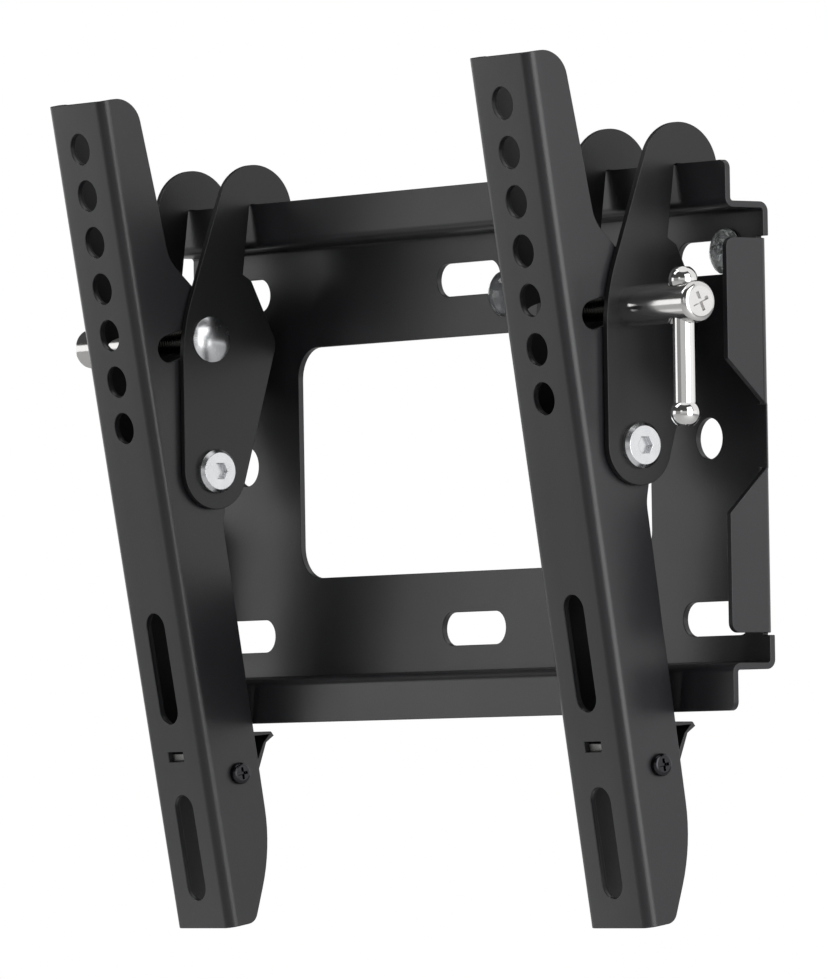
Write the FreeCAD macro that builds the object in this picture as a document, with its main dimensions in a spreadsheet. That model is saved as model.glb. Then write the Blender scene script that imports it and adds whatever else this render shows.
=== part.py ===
import FreeCAD, Part
import Sketcher
import math
import os
import re

# Tilting wall bracket for a television: a folded wall plate with an upper and a lower rail,
# and two channel arms that hang on the upper rail by pairs of hook plates.
# Frame: millimetres, +X to the right as seen from the front, +Y into the wall, +Z up.
# The origin is the centre of the wall plate's back face, so the wall is the plane Y = 0.

Vector = FreeCAD.Vector
NEARLY = 1e-3  # how close two places may be and count as one
doc = FreeCAD.newDocument("TiltingBracket")

# Driving sizes, each a cell of the sheet
SIZES = {
    # folded sheet
    "sheet": 2.0,
    "plate_bend": 1.0,
    # wall plate
    "plate_width": 291.0,
    "shelf_height": 70.6,
    "rail_reach": 16.5,
    "rail_edge": 83.0,
    "rail_corner": 2.7,
    "cutout_width": 179.0,
    "cutout_height": 73.7,
    "cutout_corner": 10.0,
    "wall_slot_length": 32.2,
    "wall_slot_width": 10.4,
    "wall_slot_column": 120.2,
    "wall_slot_row": 54.8,
    "wall_hole_diameter": 12.6,
    "wall_hole_offset": 118.0,
    # side cheeks of the wall plate
    "cheek_half_height": 59.6,
    "cheek_corner": 3.0,
    "cheek_mouth_top": 23.0,
    "cheek_mouth_bottom": 23.6,
    "cheek_floor_top": 9.3,
    "cheek_floor_bottom": 9.7,
    "relief_height": 0.7,
    "relief_depth": 3.2,
    # domed discs on the wall plate: the bubble level and one by the upper middle slot
    "level_offset": 128.2,
    "level_height": 56.4,
    "middle_disc_offset": 18.7,
    "middle_disc_height": 49.0,
    "level_diameter": 14.0,
    "level_rim": 1.2,
    "level_dome": 3.2,
    # pivot of the arms
    "left_arm_place": -111.2,
    "right_arm_place": 104.8,
    "left_tilt": 10.0,
    "right_tilt": 9.0,
    "pivot_reach": 32.3,
    "pivot_drop": 2.5,
    # channel arms, depth behind the front face and height above the pivot
    "arm_width": 30.0,
    "arm_bend": 1.6,
    "arm_front": 20.4,
    "arm_top": 122.4,
    "arm_bottom": 144.3,
    "arm_head_depth": 13.8,
    "arm_head_round": 9.0,
    "arm_neck_depth": 17.1,
    "arm_neck_height": 68.8,
    "arm_neck_round": 12.0,
    "arm_belly_depth": 34.0,
    "arm_belly_top": 46.7,
    "arm_belly_bottom": 18.0,
    "arm_belly_round": 10.0,
    "arm_hip_depth": 21.9,
    "arm_hip_drop": 17.5,
    "arm_hip_round": 12.0,
    "arm_tail_depth": 20.7,
    "arm_tail_drop": 122.2,
    "arm_tail_round": 59.0,
    "arm_toe_depth": 10.2,
    "arm_toe_round": 4.0,
    # openings in an arm's front face
    "screen_hole_diameter": 10.0,
    "screen_hole_first": 17.9,
    "screen_hole_pitch": 15.0,
    "screen_hole_count": 7,
    "screen_slot_width": 9.6,
    "upper_slot_start": 42.0,
    "upper_slot_end": 78.0,
    "lower_slot_start": 101.0,
    "lower_slot_end": 135.2,
    "window_width": 8.0,
    "window_height": 3.2,
    "window_drop": 88.6,
    # tilt slot, angles from the arm's upward direction
    "tilt_bolt_lean": 1.25,
    "tilt_bolt_rise": 42.0,
    "tilt_slot_front": 12.2,
    "tilt_slot_rear": 8.8,
    "tilt_slot_clearance": 0.3,
    # hook plates
    "hook_gap": 0.5,
    "hook_eye_radius": 12.1,
    "hook_shoulder_height": 42.8,
    "hook_shoulder_round": 60.0,
    "hook_eye_lean": 16.85,
    "hook_heel_reach": 7.3,
    "hook_heel_height": 38.8,
    "hook_heel_round": 6.0,
    "hook_mouth_reach": 17.0,
    "hook_mouth_height": 58.6,
    "hook_mouth_round": 1.5,
    "hook_throat_reach": 20.3,
    "hook_throat_height": 60.5,
    "hook_lobe_reach": 14.9,
    "hook_lobe_height": 81.4,
    "hook_lobe_radius": 14.4,
    "hook_lobe_lean": 20.3,
    "hook_seat_front": 0.8,
    "hook_seat_rear": 0.9,
    "hook_seat_clearance": 0.05,
    "hook_seat_round": 1.0,
    "hook_tooth_end": 74.0,
    # bolts
    "bolt_diameter": 8.0,
    "running_clearance": 0.05,
    "pivot_head_diameter": 14.0,
    "pivot_head_height": 2.5,
    "pivot_head_chamfer": 1.1,
    "socket_width": 5.0,
    "socket_depth": 1.8,
    "pivot_nut_width": 13.0,
    "pivot_nut_height": 6.5,
    "nut_bevel": 30.0,
    "bolt_overhang": 1.5,
    "bolt_end_chamfer": 0.8,
    "washer_diameter": 18.0,
    "face_clearance": 0.02,
    "tilt_head_diameter": 14.6,
    "tilt_head_height": 3.0,
    "tilt_head_rim": 0.7,
    # clamp barrel and its bar
    "barrel_diameter": 12.7,
    "barrel_length": 31.5,
    "barrel_chamfer": 0.5,
    "barrel_bore_depth": 19.0,
    "barrel_thread_reach": 18.0,
    "cross_length": 6.4,
    "cross_width": 1.3,
    "cross_depth": 1.6,
    "left_bar_turn": 18.0,
    "bar_place": 23.3,
    "bar_diameter": 6.7,
    "bar_ball_upper": 6.8,
    "bar_ball_lower": 33.2,
    "ball_upper_diameter": 8.8,
    "ball_lower_diameter": 9.0,
    "ball_core": 0.8,
    "ball_flat": 3.9,
    "ball_seat_clearance": 0.3,
    # latch hinge, behind the arm's front face and below the pivot
    "latch_depth": 12.7,
    "latch_drop": 96.4,
    "latch_half_width": 12.3,
    "latch_skin": 1.6,
    "latch_eye_diameter": 7.4,
    # latch crook, behind and above its hinge
    "latch_elbow_depth": 9.2,
    "latch_elbow_drop": 2.2,
    "latch_elbow_round": 2.0,
    "latch_chin_depth": 14.6,
    "latch_chin_height": 7.4,
    "latch_tip_depth": 18.0,
    "latch_tip_height": 9.0,
    "latch_nose_depth": 17.2,
    "latch_nose_height": 10.5,
    "latch_nose_round": 0.6,
    "latch_lip_depth": 6.8,
    "latch_lip_height": 12.2,
    "latch_throat_depth": 16.3,
    "latch_throat_height": 9.7,
    "latch_gullet_depth": 13.5,
    "latch_gullet_height": 7.6,
    "latch_inside_depth": 7.9,
    "latch_inside_drop": 1.0,
    # latch tab behind the window, in front of and above the hinge
    "tab_half_width": 6.0,
    "tab_depth": 10.0,
    "tab_top": 8.3,
    "tab_foot": 6.4,
    "tab_heel": 0.8,
    # latch screw and nut
    "latch_screw_diameter": 4.0,
    "screw_head_diameter": 7.0,
    "screw_head_height": 2.2,
    "screw_head_round": 1.2,
    "screw_cross_length": 3.8,
    "screw_cross_width": 0.9,
    "screw_cross_depth": 1.2,
    "latch_nut_width": 7.0,
    "latch_nut_height": 3.2,
}

sheet = doc.addObject("Spreadsheet::Sheet", "Sizes")
for row, (alias, value) in enumerate(SIZES.items(), start=1):
    sheet.set(f"A{row}", alias)
    sheet.set(f"B{row}", str(value))
    sheet.setAlias(f"B{row}", alias)
doc.recompute()


def bound(expression):
    """The expression with every size name pointed at the sheet."""
    names = re.compile(r"[a-z]+(?:_[a-z]+)*")
    return names.sub(lambda m: f"Sizes.{m[0]}" if m[0] in SIZES else m[0], expression)


def size(expression):
    """The present value of an expression over the sheet."""
    value = sheet.evalExpression(bound(expression))
    return float(getattr(value, "Value", value))


def new_body(label):
    """An empty body under its node name."""
    body = doc.addObject("PartDesign::Body", label)
    body.Label = label
    return body


def sketch_on(body, plane, name, offset=None):
    """A sketch on one of the body's own origin planes, moved along its normal by the offset."""
    sketch = body.newObject("Sketcher::SketchObject", name)
    support = next(item for item in body.Origin.OriginFeatures if item.Role == plane)
    sketch.AttachmentSupport = [(support, "")]
    sketch.MapMode = "FlatFace"
    if offset is not None:
        sketch.AttachmentOffset = FreeCAD.Placement(Vector(0, 0, size(offset)), FreeCAD.Rotation())
        sketch.setExpression("AttachmentOffset.Base.z", bound(offset))
    return sketch


def bind(sketch, constraint, expression):
    """Adds a constraint whose value follows the expression."""
    index = sketch.addConstraint(constraint)
    sketch.setExpression(f"Constraints[{index}]", bound(expression))


def pin(sketch, geometry, end, x, y):
    """Holds a point of a sketch at two expressions measured from the sketch's origin."""
    bind(sketch, Sketcher.Constraint("DistanceX", -1, 1, geometry, end, size(x)), x)
    bind(sketch, Sketcher.Constraint("DistanceY", -1, 1, geometry, end, size(y)), y)


def outline(sketch, corners):
    """A closed outline through corners given as (x, y) or (x, y, rounding radius)."""
    points = [Vector(size(corner[0]), size(corner[1]), 0) for corner in corners]
    count = len(points)
    leaving, entering, rounds = [], [], []
    for i, corner in enumerate(corners):
        point = points[i]
        back = (points[i - 1] - point).normalize()
        ahead = (points[(i + 1) % count] - point).normalize()
        if len(corner) < 3:
            leaving.append(point)
            entering.append(point)
            rounds.append(None)
            continue
        radius = size(corner[2])
        half_angle = back.getAngle(ahead) / 2
        reach = radius / math.tan(half_angle)
        centre = point + (back + ahead).normalize() * (radius / math.sin(half_angle))
        entering.append(point + back * reach)
        leaving.append(point + ahead * reach)
        rounds.append((centre, radius, back.cross(ahead).z < 0))
    sides = [
        sketch.addGeometry(Part.LineSegment(leaving[i], entering[(i + 1) % count]), False)
        for i in range(count)
    ]
    for i, corner in enumerate(corners):
        before, after = sides[i - 1], sides[i]
        if rounds[i] is None:
            sketch.addConstraint(Sketcher.Constraint("Coincident", before, 2, after, 1))
            pin(sketch, after, 1, corner[0], corner[1])
            continue
        centre, radius, leftward = rounds[i]
        start, finish = (entering[i], leaving[i]) if leftward else (leaving[i], entering[i])
        angles = [math.atan2(p.y - centre.y, p.x - centre.x) for p in (start, finish)]
        if angles[1] < angles[0]:
            angles[1] += 2 * math.pi
        circle = Part.Circle(centre, Vector(0, 0, 1), radius)
        arc = sketch.addGeometry(Part.ArcOfCircle(circle, angles[0], angles[1]), False)
        first, last = (1, 2) if leftward else (2, 1)
        sketch.addConstraint(Sketcher.Constraint("Tangent", before, 2, arc, first))
        sketch.addConstraint(Sketcher.Constraint("Tangent", arc, last, after, 1))
        bind(sketch, Sketcher.Constraint("Radius", arc, radius), corner[2])
        tip = sketch.addGeometry(Part.Point(points[i]), True)
        pin(sketch, tip, 1, corner[0], corner[1])
        sketch.addConstraint(Sketcher.Constraint("PointOnObject", tip, 1, before))
        sketch.addConstraint(Sketcher.Constraint("PointOnObject", tip, 1, after))


def ring(sketch, x, y, diameter):
    """A circle centred at two expressions."""
    centre = Vector(size(x), size(y), 0)
    circle = sketch.addGeometry(Part.Circle(centre, Vector(0, 0, 1), size(diameter) / 2), False)
    pin(sketch, circle, 3, x, y)
    bind(sketch, Sketcher.Constraint("Diameter", circle, size(diameter)), diameter)


def capsule(sketch, start, finish, width):
    """A straight slot whose round ends are centred on two points, each a pair of expressions."""
    centres = [Vector(size(x), size(y), 0) for x, y in (start, finish)]
    radius = size(width) / 2
    along = math.atan2(centres[1].y - centres[0].y, centres[1].x - centres[0].x)
    quarter = math.pi / 2
    ends = []
    for centre, turn, place in ((centres[0], quarter, start), (centres[1], -quarter, finish)):
        circle = Part.Circle(centre, Vector(0, 0, 1), radius)
        arc = Part.ArcOfCircle(circle, along + turn, along + turn + math.pi)
        ends.append(sketch.addGeometry(arc, False))
        pin(sketch, ends[-1], 3, *place)
    bind(sketch, Sketcher.Constraint("Radius", ends[0], radius), f"({width}) / 2")
    sketch.addConstraint(Sketcher.Constraint("Equal", ends[0], ends[1]))
    for near, far in ((0, 1), (1, 0)):
        joined = [sketch.Geometry[ends[near]].EndPoint, sketch.Geometry[ends[far]].StartPoint]
        side = sketch.addGeometry(Part.LineSegment(*joined), False)
        sketch.addConstraint(Sketcher.Constraint("Tangent", ends[near], 2, side, 1))
        sketch.addConstraint(Sketcher.Constraint("Tangent", side, 2, ends[far], 1))


def crowned(sketch, corners, axis):
    """A closed outline whose last side is an arc centred on one of the sketch's own axes."""
    points = [Vector(size(x), size(y), 0) for x, y in corners]
    count = len(points)
    for i in range(count - 1):
        side = sketch.addGeometry(Part.LineSegment(points[i], points[i + 1]), False)
        pin(sketch, side, 1, *corners[i])
        if i > 0:
            sketch.addConstraint(Sketcher.Constraint("Coincident", side - 1, 2, side, 1))
    pin(sketch, count - 2, 2, *corners[-1])
    first, last = points[0], points[-1]
    spread = last.dot(last) - first.dot(first)
    if axis == "H_Axis":
        centre = Vector(spread / (2 * (last.x - first.x)), 0, 0)
    else:
        centre = Vector(0, spread / (2 * (last.y - first.y)), 0)
    start, finish = (math.atan2(p.y - centre.y, p.x - centre.x) for p in (last, first))
    turns = (finish - start) % (2 * math.pi)
    onward = turns < math.pi
    circle = Part.Circle(centre, Vector(0, 0, 1), (first - centre).Length)
    span = (start, start + turns) if onward else (finish, finish + 2 * math.pi - turns)
    arc = sketch.addGeometry(Part.ArcOfCircle(circle, *span), False)
    near, far = (1, 2) if onward else (2, 1)
    sketch.addConstraint(Sketcher.Constraint("Coincident", count - 2, 2, arc, near))
    sketch.addConstraint(Sketcher.Constraint("Coincident", arc, far, 0, 1))
    guide = -1 if axis == "H_Axis" else -2
    sketch.addConstraint(Sketcher.Constraint("PointOnObject", arc, 3, guide))


def bent_slot(sketch, radius, front, rear, width):
    """A slot curved about the sketch's origin between two angles from the upward direction."""
    bounds = [math.radians(90 - size(angle)) for angle in (rear, front)]
    middle, half = size(radius), size(width) / 2
    up = Vector(0, 0, 1)
    walls = []
    for reach in (middle + half, middle - half):
        wall = Part.ArcOfCircle(Part.Circle(Vector(0, 0, 0), up, reach), *bounds)
        walls.append(sketch.addGeometry(wall, False))
        sketch.addConstraint(Sketcher.Constraint("Coincident", walls[-1], 3, -1, 1))
    caps = []
    for angle, bearing, turn in ((front, bounds[1], 0), (rear, bounds[0], math.pi)):
        centre = Vector(middle * math.cos(bearing), middle * math.sin(bearing), 0)
        cap = Part.ArcOfCircle(Part.Circle(centre, up, half), bearing + turn, bearing + turn + math.pi)
        caps.append(sketch.addGeometry(cap, False))
        across = Sketcher.Constraint("DistanceX", -1, 1, caps[-1], 3, centre.x)
        bind(sketch, across, f"{radius} * sin({angle})")
    middle_height = middle * math.cos(math.radians(size(front)))
    raised = Sketcher.Constraint("DistanceY", -1, 1, caps[0], 3, middle_height)
    bind(sketch, raised, f"{radius} * cos({front})")
    outer, inner = walls
    bind(sketch, Sketcher.Constraint("Radius", caps[0], half), f"({width}) / 2")
    sketch.addConstraint(Sketcher.Constraint("Tangent", outer, 2, caps[0], 1))
    sketch.addConstraint(Sketcher.Constraint("Tangent", caps[0], 2, inner, 2))
    sketch.addConstraint(Sketcher.Constraint("Tangent", inner, 1, caps[1], 1))
    sketch.addConstraint(Sketcher.Constraint("Tangent", caps[1], 2, outer, 1))


def hexagon(sketch, width):
    """A hexagon about the sketch's origin, given across its flats."""
    reach = f"{width} / sqrt(3)"
    outline(sketch, [(f"{reach} * cos({60 * k})", f"{reach} * sin({60 * k})") for k in range(6)])


def cross(sketch, length, width):
    """An upright cross about the sketch's origin."""
    far, near = f"{length} / 2", f"{width} / 2"
    quarter = [(near, far), (near, near), (far, near)]
    corners = []
    for sign_x, sign_y in (("", ""), ("", "-"), ("-", "-"), ("-", "")):
        run = quarter if sign_x == sign_y else quarter[::-1]
        corners += [(f"{sign_x}{x}", f"{sign_y}{y}") for x, y in run]
    outline(sketch, corners)


def block(sketch, x_low, x_high, y_low, y_high):
    """A rectangle between four expressions."""
    outline(sketch, [(x_low, y_low), (x_high, y_low), (x_high, y_high), (x_low, y_high)])


def feature(body, kind, name, sketch, length=None, symmetric=False, reverse=False):
    """A pad or pocket of the sketch; a pocket without a length goes through everything."""
    made = body.newObject(f"PartDesign::{kind}", name)
    made.Profile = sketch
    if length is None:
        made.Type = "ThroughAll"
    else:
        made.setExpression("Length", bound(length))
    if symmetric:
        made.SideType = "Symmetric"
    made.Reversed = reverse
    sketch.Visibility = False
    return made


def turned(body, kind, name, sketch, axis):
    """A revolution or groove of the sketch, a full turn about one of the sketch's own axes."""
    made = body.newObject(f"PartDesign::{kind}", name)
    made.Profile = sketch
    made.ReferenceAxis = (sketch, [axis])
    made.Angle = 360.0
    sketch.Visibility = False
    return made


def mirrored(body, name, made):
    """A copy of one feature on the other side of the body's own middle plane."""
    pair = body.newObject("PartDesign::Mirrored", name)
    pair.Originals = [made]
    middle = next(item for item in body.Origin.OriginFeatures if item.Role == "YZ_Plane")
    pair.MirrorPlane = (middle, [""])
    body.Tip = pair
    return pair


def softened(body, kind, name, amount, wanted):
    """A fillet or chamfer on the edges of the latest feature that the test accepts."""
    doc.recompute()
    base = body.Tip
    edges = [f"Edge{i}" for i, edge in enumerate(base.Shape.Edges, start=1) if wanted(edge)]
    made = body.newObject(f"PartDesign::{kind}", name)
    made.Base = (base, edges)
    made.setExpression("Radius" if kind == "Fillet" else "Size", bound(amount))
    return made


def runs_along(edge, axis, **at):
    """Whether a straight edge follows an axis and lies at the given coordinates."""
    if edge.Curve.TypeId != "Part::GeomLine":
        return False
    reach = edge.BoundBox
    spans = {"x": reach.XLength, "y": reach.YLength, "z": reach.ZLength}
    if any(spans[name] > NEARLY for name in spans if name != axis):
        return False
    return all(abs(abs(getattr(reach.Center, name)) - abs(value)) < NEARLY for name, value in at.items())


def place(item, x, y, z, tilt=None, flip=False):
    """Puts a node at three expressions, turned about to face -X where asked, then leaning."""
    cells = {"Base.x": x, "Base.y": y, "Base.z": z}
    turn = FreeCAD.Rotation(Vector(0, 0, 1), 180 if flip else 0)
    if flip and tilt is not None:
        # Facing about and leaning together are half a turn about an axis that leans half as far
        cells["Rotation.Axis.y"] = f"-sin({tilt} / 2)"
        cells["Rotation.Axis.z"] = f"cos({tilt} / 2)"
    elif tilt is not None:
        turn = FreeCAD.Rotation(Vector(1, 0, 0), size(tilt))
        cells["Rotation.Angle"] = tilt
    item.Placement = FreeCAD.Placement(Vector(size(x), size(y), size(z)), turn)
    for path, expression in cells.items():
        item.setExpression(f"Placement.{path}", bound(expression))


# Wall plate: back sheet, shelf and rail at top and bottom folded from one sheet
plate = new_body("wall_plate")
section = sketch_on(plate, "YZ_Plane", "plate_section")
outer_bend = "plate_bend + sheet"
outline(section, [
    ("0", "-shelf_height", outer_bend),
    ("0", "shelf_height", outer_bend),
    ("sheet - rail_reach", "shelf_height", "plate_bend"),
    ("sheet - rail_reach", "rail_edge"),
    ("-rail_reach", "rail_edge"),
    ("-rail_reach", "shelf_height - sheet", outer_bend),
    ("-sheet", "shelf_height - sheet", "plate_bend"),
    ("-sheet", "sheet - shelf_height", "plate_bend"),
    ("-rail_reach", "sheet - shelf_height", outer_bend),
    ("-rail_reach", "-rail_edge"),
    ("sheet - rail_reach", "-rail_edge"),
    ("sheet - rail_reach", "-shelf_height", "plate_bend"),
])
feature(plate, "Pad", "folded_sheet", section, "plate_width", symmetric=True)
softened(plate, "Fillet", "rail_ends", "rail_corner",
         lambda e: runs_along(e, "y", x=size("plate_width / 2"), z=size("rail_edge")))

# Side cheeks folded forward from the back sheet, each with a wide trapezoid mouth
cheek = sketch_on(plate, "YZ_Plane", "cheek_outline", "plate_width / 2 - sheet")
outline(cheek, [
    ("0", "-cheek_half_height"),
    ("0", "cheek_half_height"),
    ("-rail_reach", "cheek_half_height", "cheek_corner"),
    ("-rail_reach", "cheek_mouth_top"),
    ("-sheet", "cheek_floor_top"),
    ("-sheet", "-cheek_floor_bottom"),
    ("-rail_reach", "-cheek_mouth_bottom"),
    ("-rail_reach", "-cheek_half_height", "cheek_corner"),
])
right_cheek = feature(plate, "Pad", "right_cheek", cheek, "sheet")
mirrored(plate, "both_cheeks", right_cheek)

# Relief cuts above and below each cheek
relief = sketch_on(plate, "XZ_Plane", "relief_outline")
for side in ("", "-"):
    for level in ("", "-"):
        outline(relief, [
            (f"{side}(plate_width / 2 - relief_depth)", f"{level}cheek_half_height"),
            (f"{side}(plate_width / 2 + sheet)", f"{level}cheek_half_height"),
            (f"{side}(plate_width / 2 + sheet)", f"{level}(cheek_half_height + relief_height)"),
            (f"{side}(plate_width / 2 - relief_depth)",
             f"{level}(cheek_half_height + relief_height)"),
        ])
feature(plate, "Pocket", "reliefs", relief, symmetric=True)
softened(plate, "Fillet", "cheek_fold_outside", outer_bend,
         lambda e: runs_along(e, "z", x=size("plate_width / 2"), y=0)
         and abs(e.BoundBox.Center.z) < size("cheek_half_height"))
softened(plate, "Fillet", "cheek_fold_inside", "plate_bend",
         lambda e: runs_along(e, "z", x=size("plate_width / 2 - sheet"), y=size("sheet")))

# Central cut-out, six fixing slots and two round holes
window = sketch_on(plate, "XZ_Plane", "cutout_outline")
outline(window, [
    (f"{x}cutout_width / 2", f"{z}cutout_height / 2", "cutout_corner")
    for x, z in (("-", "-"), ("", "-"), ("", ""), ("-", ""))
])
feature(plate, "Pocket", "cutout", window, symmetric=True)
fixings = sketch_on(plate, "XZ_Plane", "fixing_outlines")
half_slot = "(wall_slot_length - wall_slot_width) / 2"
for level in ("", "-"):
    for column in ("-wall_slot_column", "0", "wall_slot_column"):
        capsule(fixings, (f"{column} - {half_slot}", f"{level}wall_slot_row"),
                (f"{column} + {half_slot}", f"{level}wall_slot_row"), "wall_slot_width")
for side in ("-", ""):
    ring(fixings, f"{side}wall_hole_offset", "0", "wall_hole_diameter")
feature(plate, "Pocket", "fixings", fixings, symmetric=True)

# Bubble level and a second domed disc like it, both on the plate's front face
discs = []
for label, where in (("spirit_level", "level"), ("middle_disc", "middle_disc")):
    disc = new_body(label)
    disc_half = sketch_on(disc, "XY_Plane", f"{label}_half")
    crowned(disc_half, [
        ("0", "-(level_rim + level_dome)"),
        ("0", "0"),
        ("level_diameter / 2", "0"),
        ("level_diameter / 2", "-level_rim"),
    ], "V_Axis")
    turned(disc, "Revolution", f"{label}_solid", disc_half, "V_Axis")
    place(disc, f"{where}_offset", "-sheet", f"{where}_height")
    discs.append(disc)

# Shared distances, written over the sheet
HOOK_FACE = "(arm_width / 2 + hook_gap + sheet)"
BOLT_BORE = "bolt_diameter + 2 * running_clearance"
TILT_RADIUS = "sqrt(tilt_bolt_lean ^ 2 + tilt_bolt_rise ^ 2)"


def build_nut(label, face, width, height, thread):
    """A hexagon nut that stands on the face at -X, its outer corners bevelled."""
    nut = new_body(label)
    flats = sketch_on(nut, "YZ_Plane", f"{label}_flats", f"-{face}")
    hexagon(flats, width)
    feature(nut, "Pad", f"{label}_prism", flats, height, reverse=True)
    bore = sketch_on(nut, "YZ_Plane", f"{label}_bore_outline")
    ring(bore, "0", "0", f"{thread} + 2 * running_clearance")
    feature(nut, "Pocket", f"{label}_bore", bore, symmetric=True)
    bevel = sketch_on(nut, "XY_Plane", f"{label}_bevel_outline")
    end = f"-({face} + {height})"
    outline(bevel, [
        (end, f"{width} / 2"),
        (end, width),
        (f"{end} + {width} / 2 * tan(nut_bevel)", width),
    ])
    turned(nut, "Groove", f"{label}_bevel", bevel, "H_Axis")
    return nut


def build_arm(side):
    """A channel arm with its screen holes, screen slots, latch window and tilt slot."""
    arm = new_body(f"{side}_arm")
    flank = sketch_on(arm, "YZ_Plane", f"{side}_arm_flank")
    outline(flank, [
        ("-arm_front", "-arm_bottom"),
        ("arm_toe_depth - arm_front", "-arm_bottom", "arm_toe_round"),
        ("arm_tail_depth - arm_front", "-arm_tail_drop", "arm_tail_round"),
        ("arm_hip_depth - arm_front", "-arm_hip_drop", "arm_hip_round"),
        ("arm_belly_depth - arm_front", "arm_belly_bottom", "arm_belly_round"),
        ("arm_belly_depth - arm_front", "arm_belly_top", "arm_belly_round"),
        ("arm_neck_depth - arm_front", "arm_neck_height", "arm_neck_round"),
        ("arm_head_depth - arm_front", "arm_top", "arm_head_round"),
        ("-arm_front", "arm_top"),
    ])
    feature(arm, "Pad", f"{side}_arm_blank", flank, "arm_width", symmetric=True)
    hollow = sketch_on(arm, "XY_Plane", f"{side}_arm_hollow")
    block(hollow, "sheet - arm_width / 2", "arm_width / 2 - sheet",
          "sheet - arm_front", "arm_belly_depth")
    feature(arm, "Pocket", f"{side}_arm_channel", hollow, symmetric=True)
    softened(arm, "Fillet", f"{side}_arm_outside_bends", "arm_bend + sheet",
             lambda e: runs_along(e, "z", x=size("arm_width / 2"), y=size("arm_front")))
    softened(arm, "Fillet", f"{side}_arm_inside_bends", "arm_bend",
             lambda e: runs_along(e, "z", x=size("arm_width / 2 - sheet"),
                                  y=size("arm_front - sheet")))
    hole = sketch_on(arm, "XZ_Plane", f"{side}_screen_hole", "arm_front")
    ring(hole, "0", "screen_hole_first", "screen_hole_diameter")
    lowest = feature(arm, "Pocket", f"{side}_lowest_screen_hole", hole, "2 * sheet")
    holes = arm.newObject("PartDesign::LinearPattern", f"{side}_screen_holes")
    holes.Originals = [lowest]
    holes.Direction = (hole, ["V_Axis"])
    holes.setExpression("Occurrences", bound("screen_hole_count"))
    holes.setExpression("Length", bound("screen_hole_pitch * (screen_hole_count - 1)"))
    arm.Tip = holes
    front = sketch_on(arm, "XZ_Plane", f"{side}_front_openings", "arm_front")
    for start, end in (("upper_slot_start", "upper_slot_end"),
                       ("lower_slot_start", "lower_slot_end")):
        capsule(front, ("0", f"screen_slot_width / 2 - {end}"),
                ("0", f"-{start} - screen_slot_width / 2"), "screen_slot_width")
    block(front, "-window_width / 2", "window_width / 2",
          "-window_drop - window_height / 2", "window_height / 2 - window_drop")
    feature(arm, "Pocket", f"{side}_front_cuts", front, "2 * sheet")
    flanges = sketch_on(arm, "YZ_Plane", f"{side}_flange_holes")
    ring(flanges, "0", "0", BOLT_BORE)
    ring(flanges, "latch_depth - arm_front", "-latch_drop",
         "latch_screw_diameter + 2 * running_clearance")
    bent_slot(flanges, TILT_RADIUS, "-tilt_slot_front", "tilt_slot_rear",
              "bolt_diameter + 2 * tilt_slot_clearance")
    feature(arm, "Pocket", f"{side}_flange_cuts", flanges, symmetric=True)
    place(arm, f"{side}_arm_place", "-pivot_reach", "-pivot_drop", tilt=f"{side}_tilt")
    return arm


def build_hook(side, name, direction):
    """A hook plate beside one flange of an arm; direction is the sign of that side."""
    label = f"{side}_{name}_hook"
    hook = new_body(label)
    lobe = ("-hook_lobe_reach", "hook_lobe_height")
    front = "-(pivot_reach + hook_eye_radius)"
    web = sketch_on(hook, "YZ_Plane", f"{label}_web")
    outline(web, [
        ("-hook_lobe_reach - hook_lobe_radius * cos(hook_lobe_lean)",
         "hook_lobe_height + hook_lobe_radius * sin(hook_lobe_lean)"),
        (front, "hook_shoulder_height", "hook_shoulder_round"),
        (front, "-pivot_drop"),
        ("-pivot_reach", "-pivot_drop"),
        ("-pivot_reach + hook_eye_radius * cos(hook_eye_lean)",
         "-pivot_drop - hook_eye_radius * sin(hook_eye_lean)"),
        ("-hook_heel_reach", "hook_heel_height", "hook_heel_round"),
        ("-hook_mouth_reach", "hook_mouth_height", "hook_mouth_round"),
        ("-hook_throat_reach", "hook_throat_height"),
        ("-(rail_reach + hook_seat_front)", "hook_lobe_height"),
        lobe,
    ])
    feature(hook, "Pad", f"{label}_plate", web, "sheet")
    for part, y, z, radius in (("eye", "-pivot_reach", "-pivot_drop", "hook_eye_radius"),
                               ("lobe", *lobe, "hook_lobe_radius")):
        disc = sketch_on(hook, "YZ_Plane", f"{label}_{part}_outline")
        ring(disc, y, z, f"2 * {radius}")
        feature(hook, "Pad", f"{label}_{part}", disc, "sheet")
    throat = sketch_on(hook, "YZ_Plane", f"{label}_throat")
    seat = "rail_edge + hook_seat_clearance"
    tooth = "-(rail_reach - sheet - hook_seat_rear)"
    outline(throat, [
        ("-hook_throat_reach", "hook_throat_height"),
        ("sheet", "hook_throat_height"),
        ("sheet", "hook_tooth_end"),
        (tooth, "hook_tooth_end", "hook_seat_round"),
        (tooth, seat, "hook_seat_round"),
        ("-(rail_reach + hook_seat_front)", seat, "hook_seat_round"),
    ])
    feature(hook, "Pocket", f"{label}_rail_seat", throat, symmetric=True)
    bores = sketch_on(hook, "YZ_Plane", f"{label}_bores")
    ring(bores, "-pivot_reach", "-pivot_drop", BOLT_BORE)
    ring(bores, "-pivot_reach - tilt_bolt_lean", "-pivot_drop + tilt_bolt_rise", BOLT_BORE)
    feature(hook, "Pocket", f"{label}_bolt_holes", bores, symmetric=True)
    if direction > 0:
        place(hook, f"{side}_arm_place + arm_width / 2 + hook_gap", "0", "0")
    else:
        place(hook, f"{side}_arm_place - {HOOK_FACE}", "0", "0")
    return hook


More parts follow.
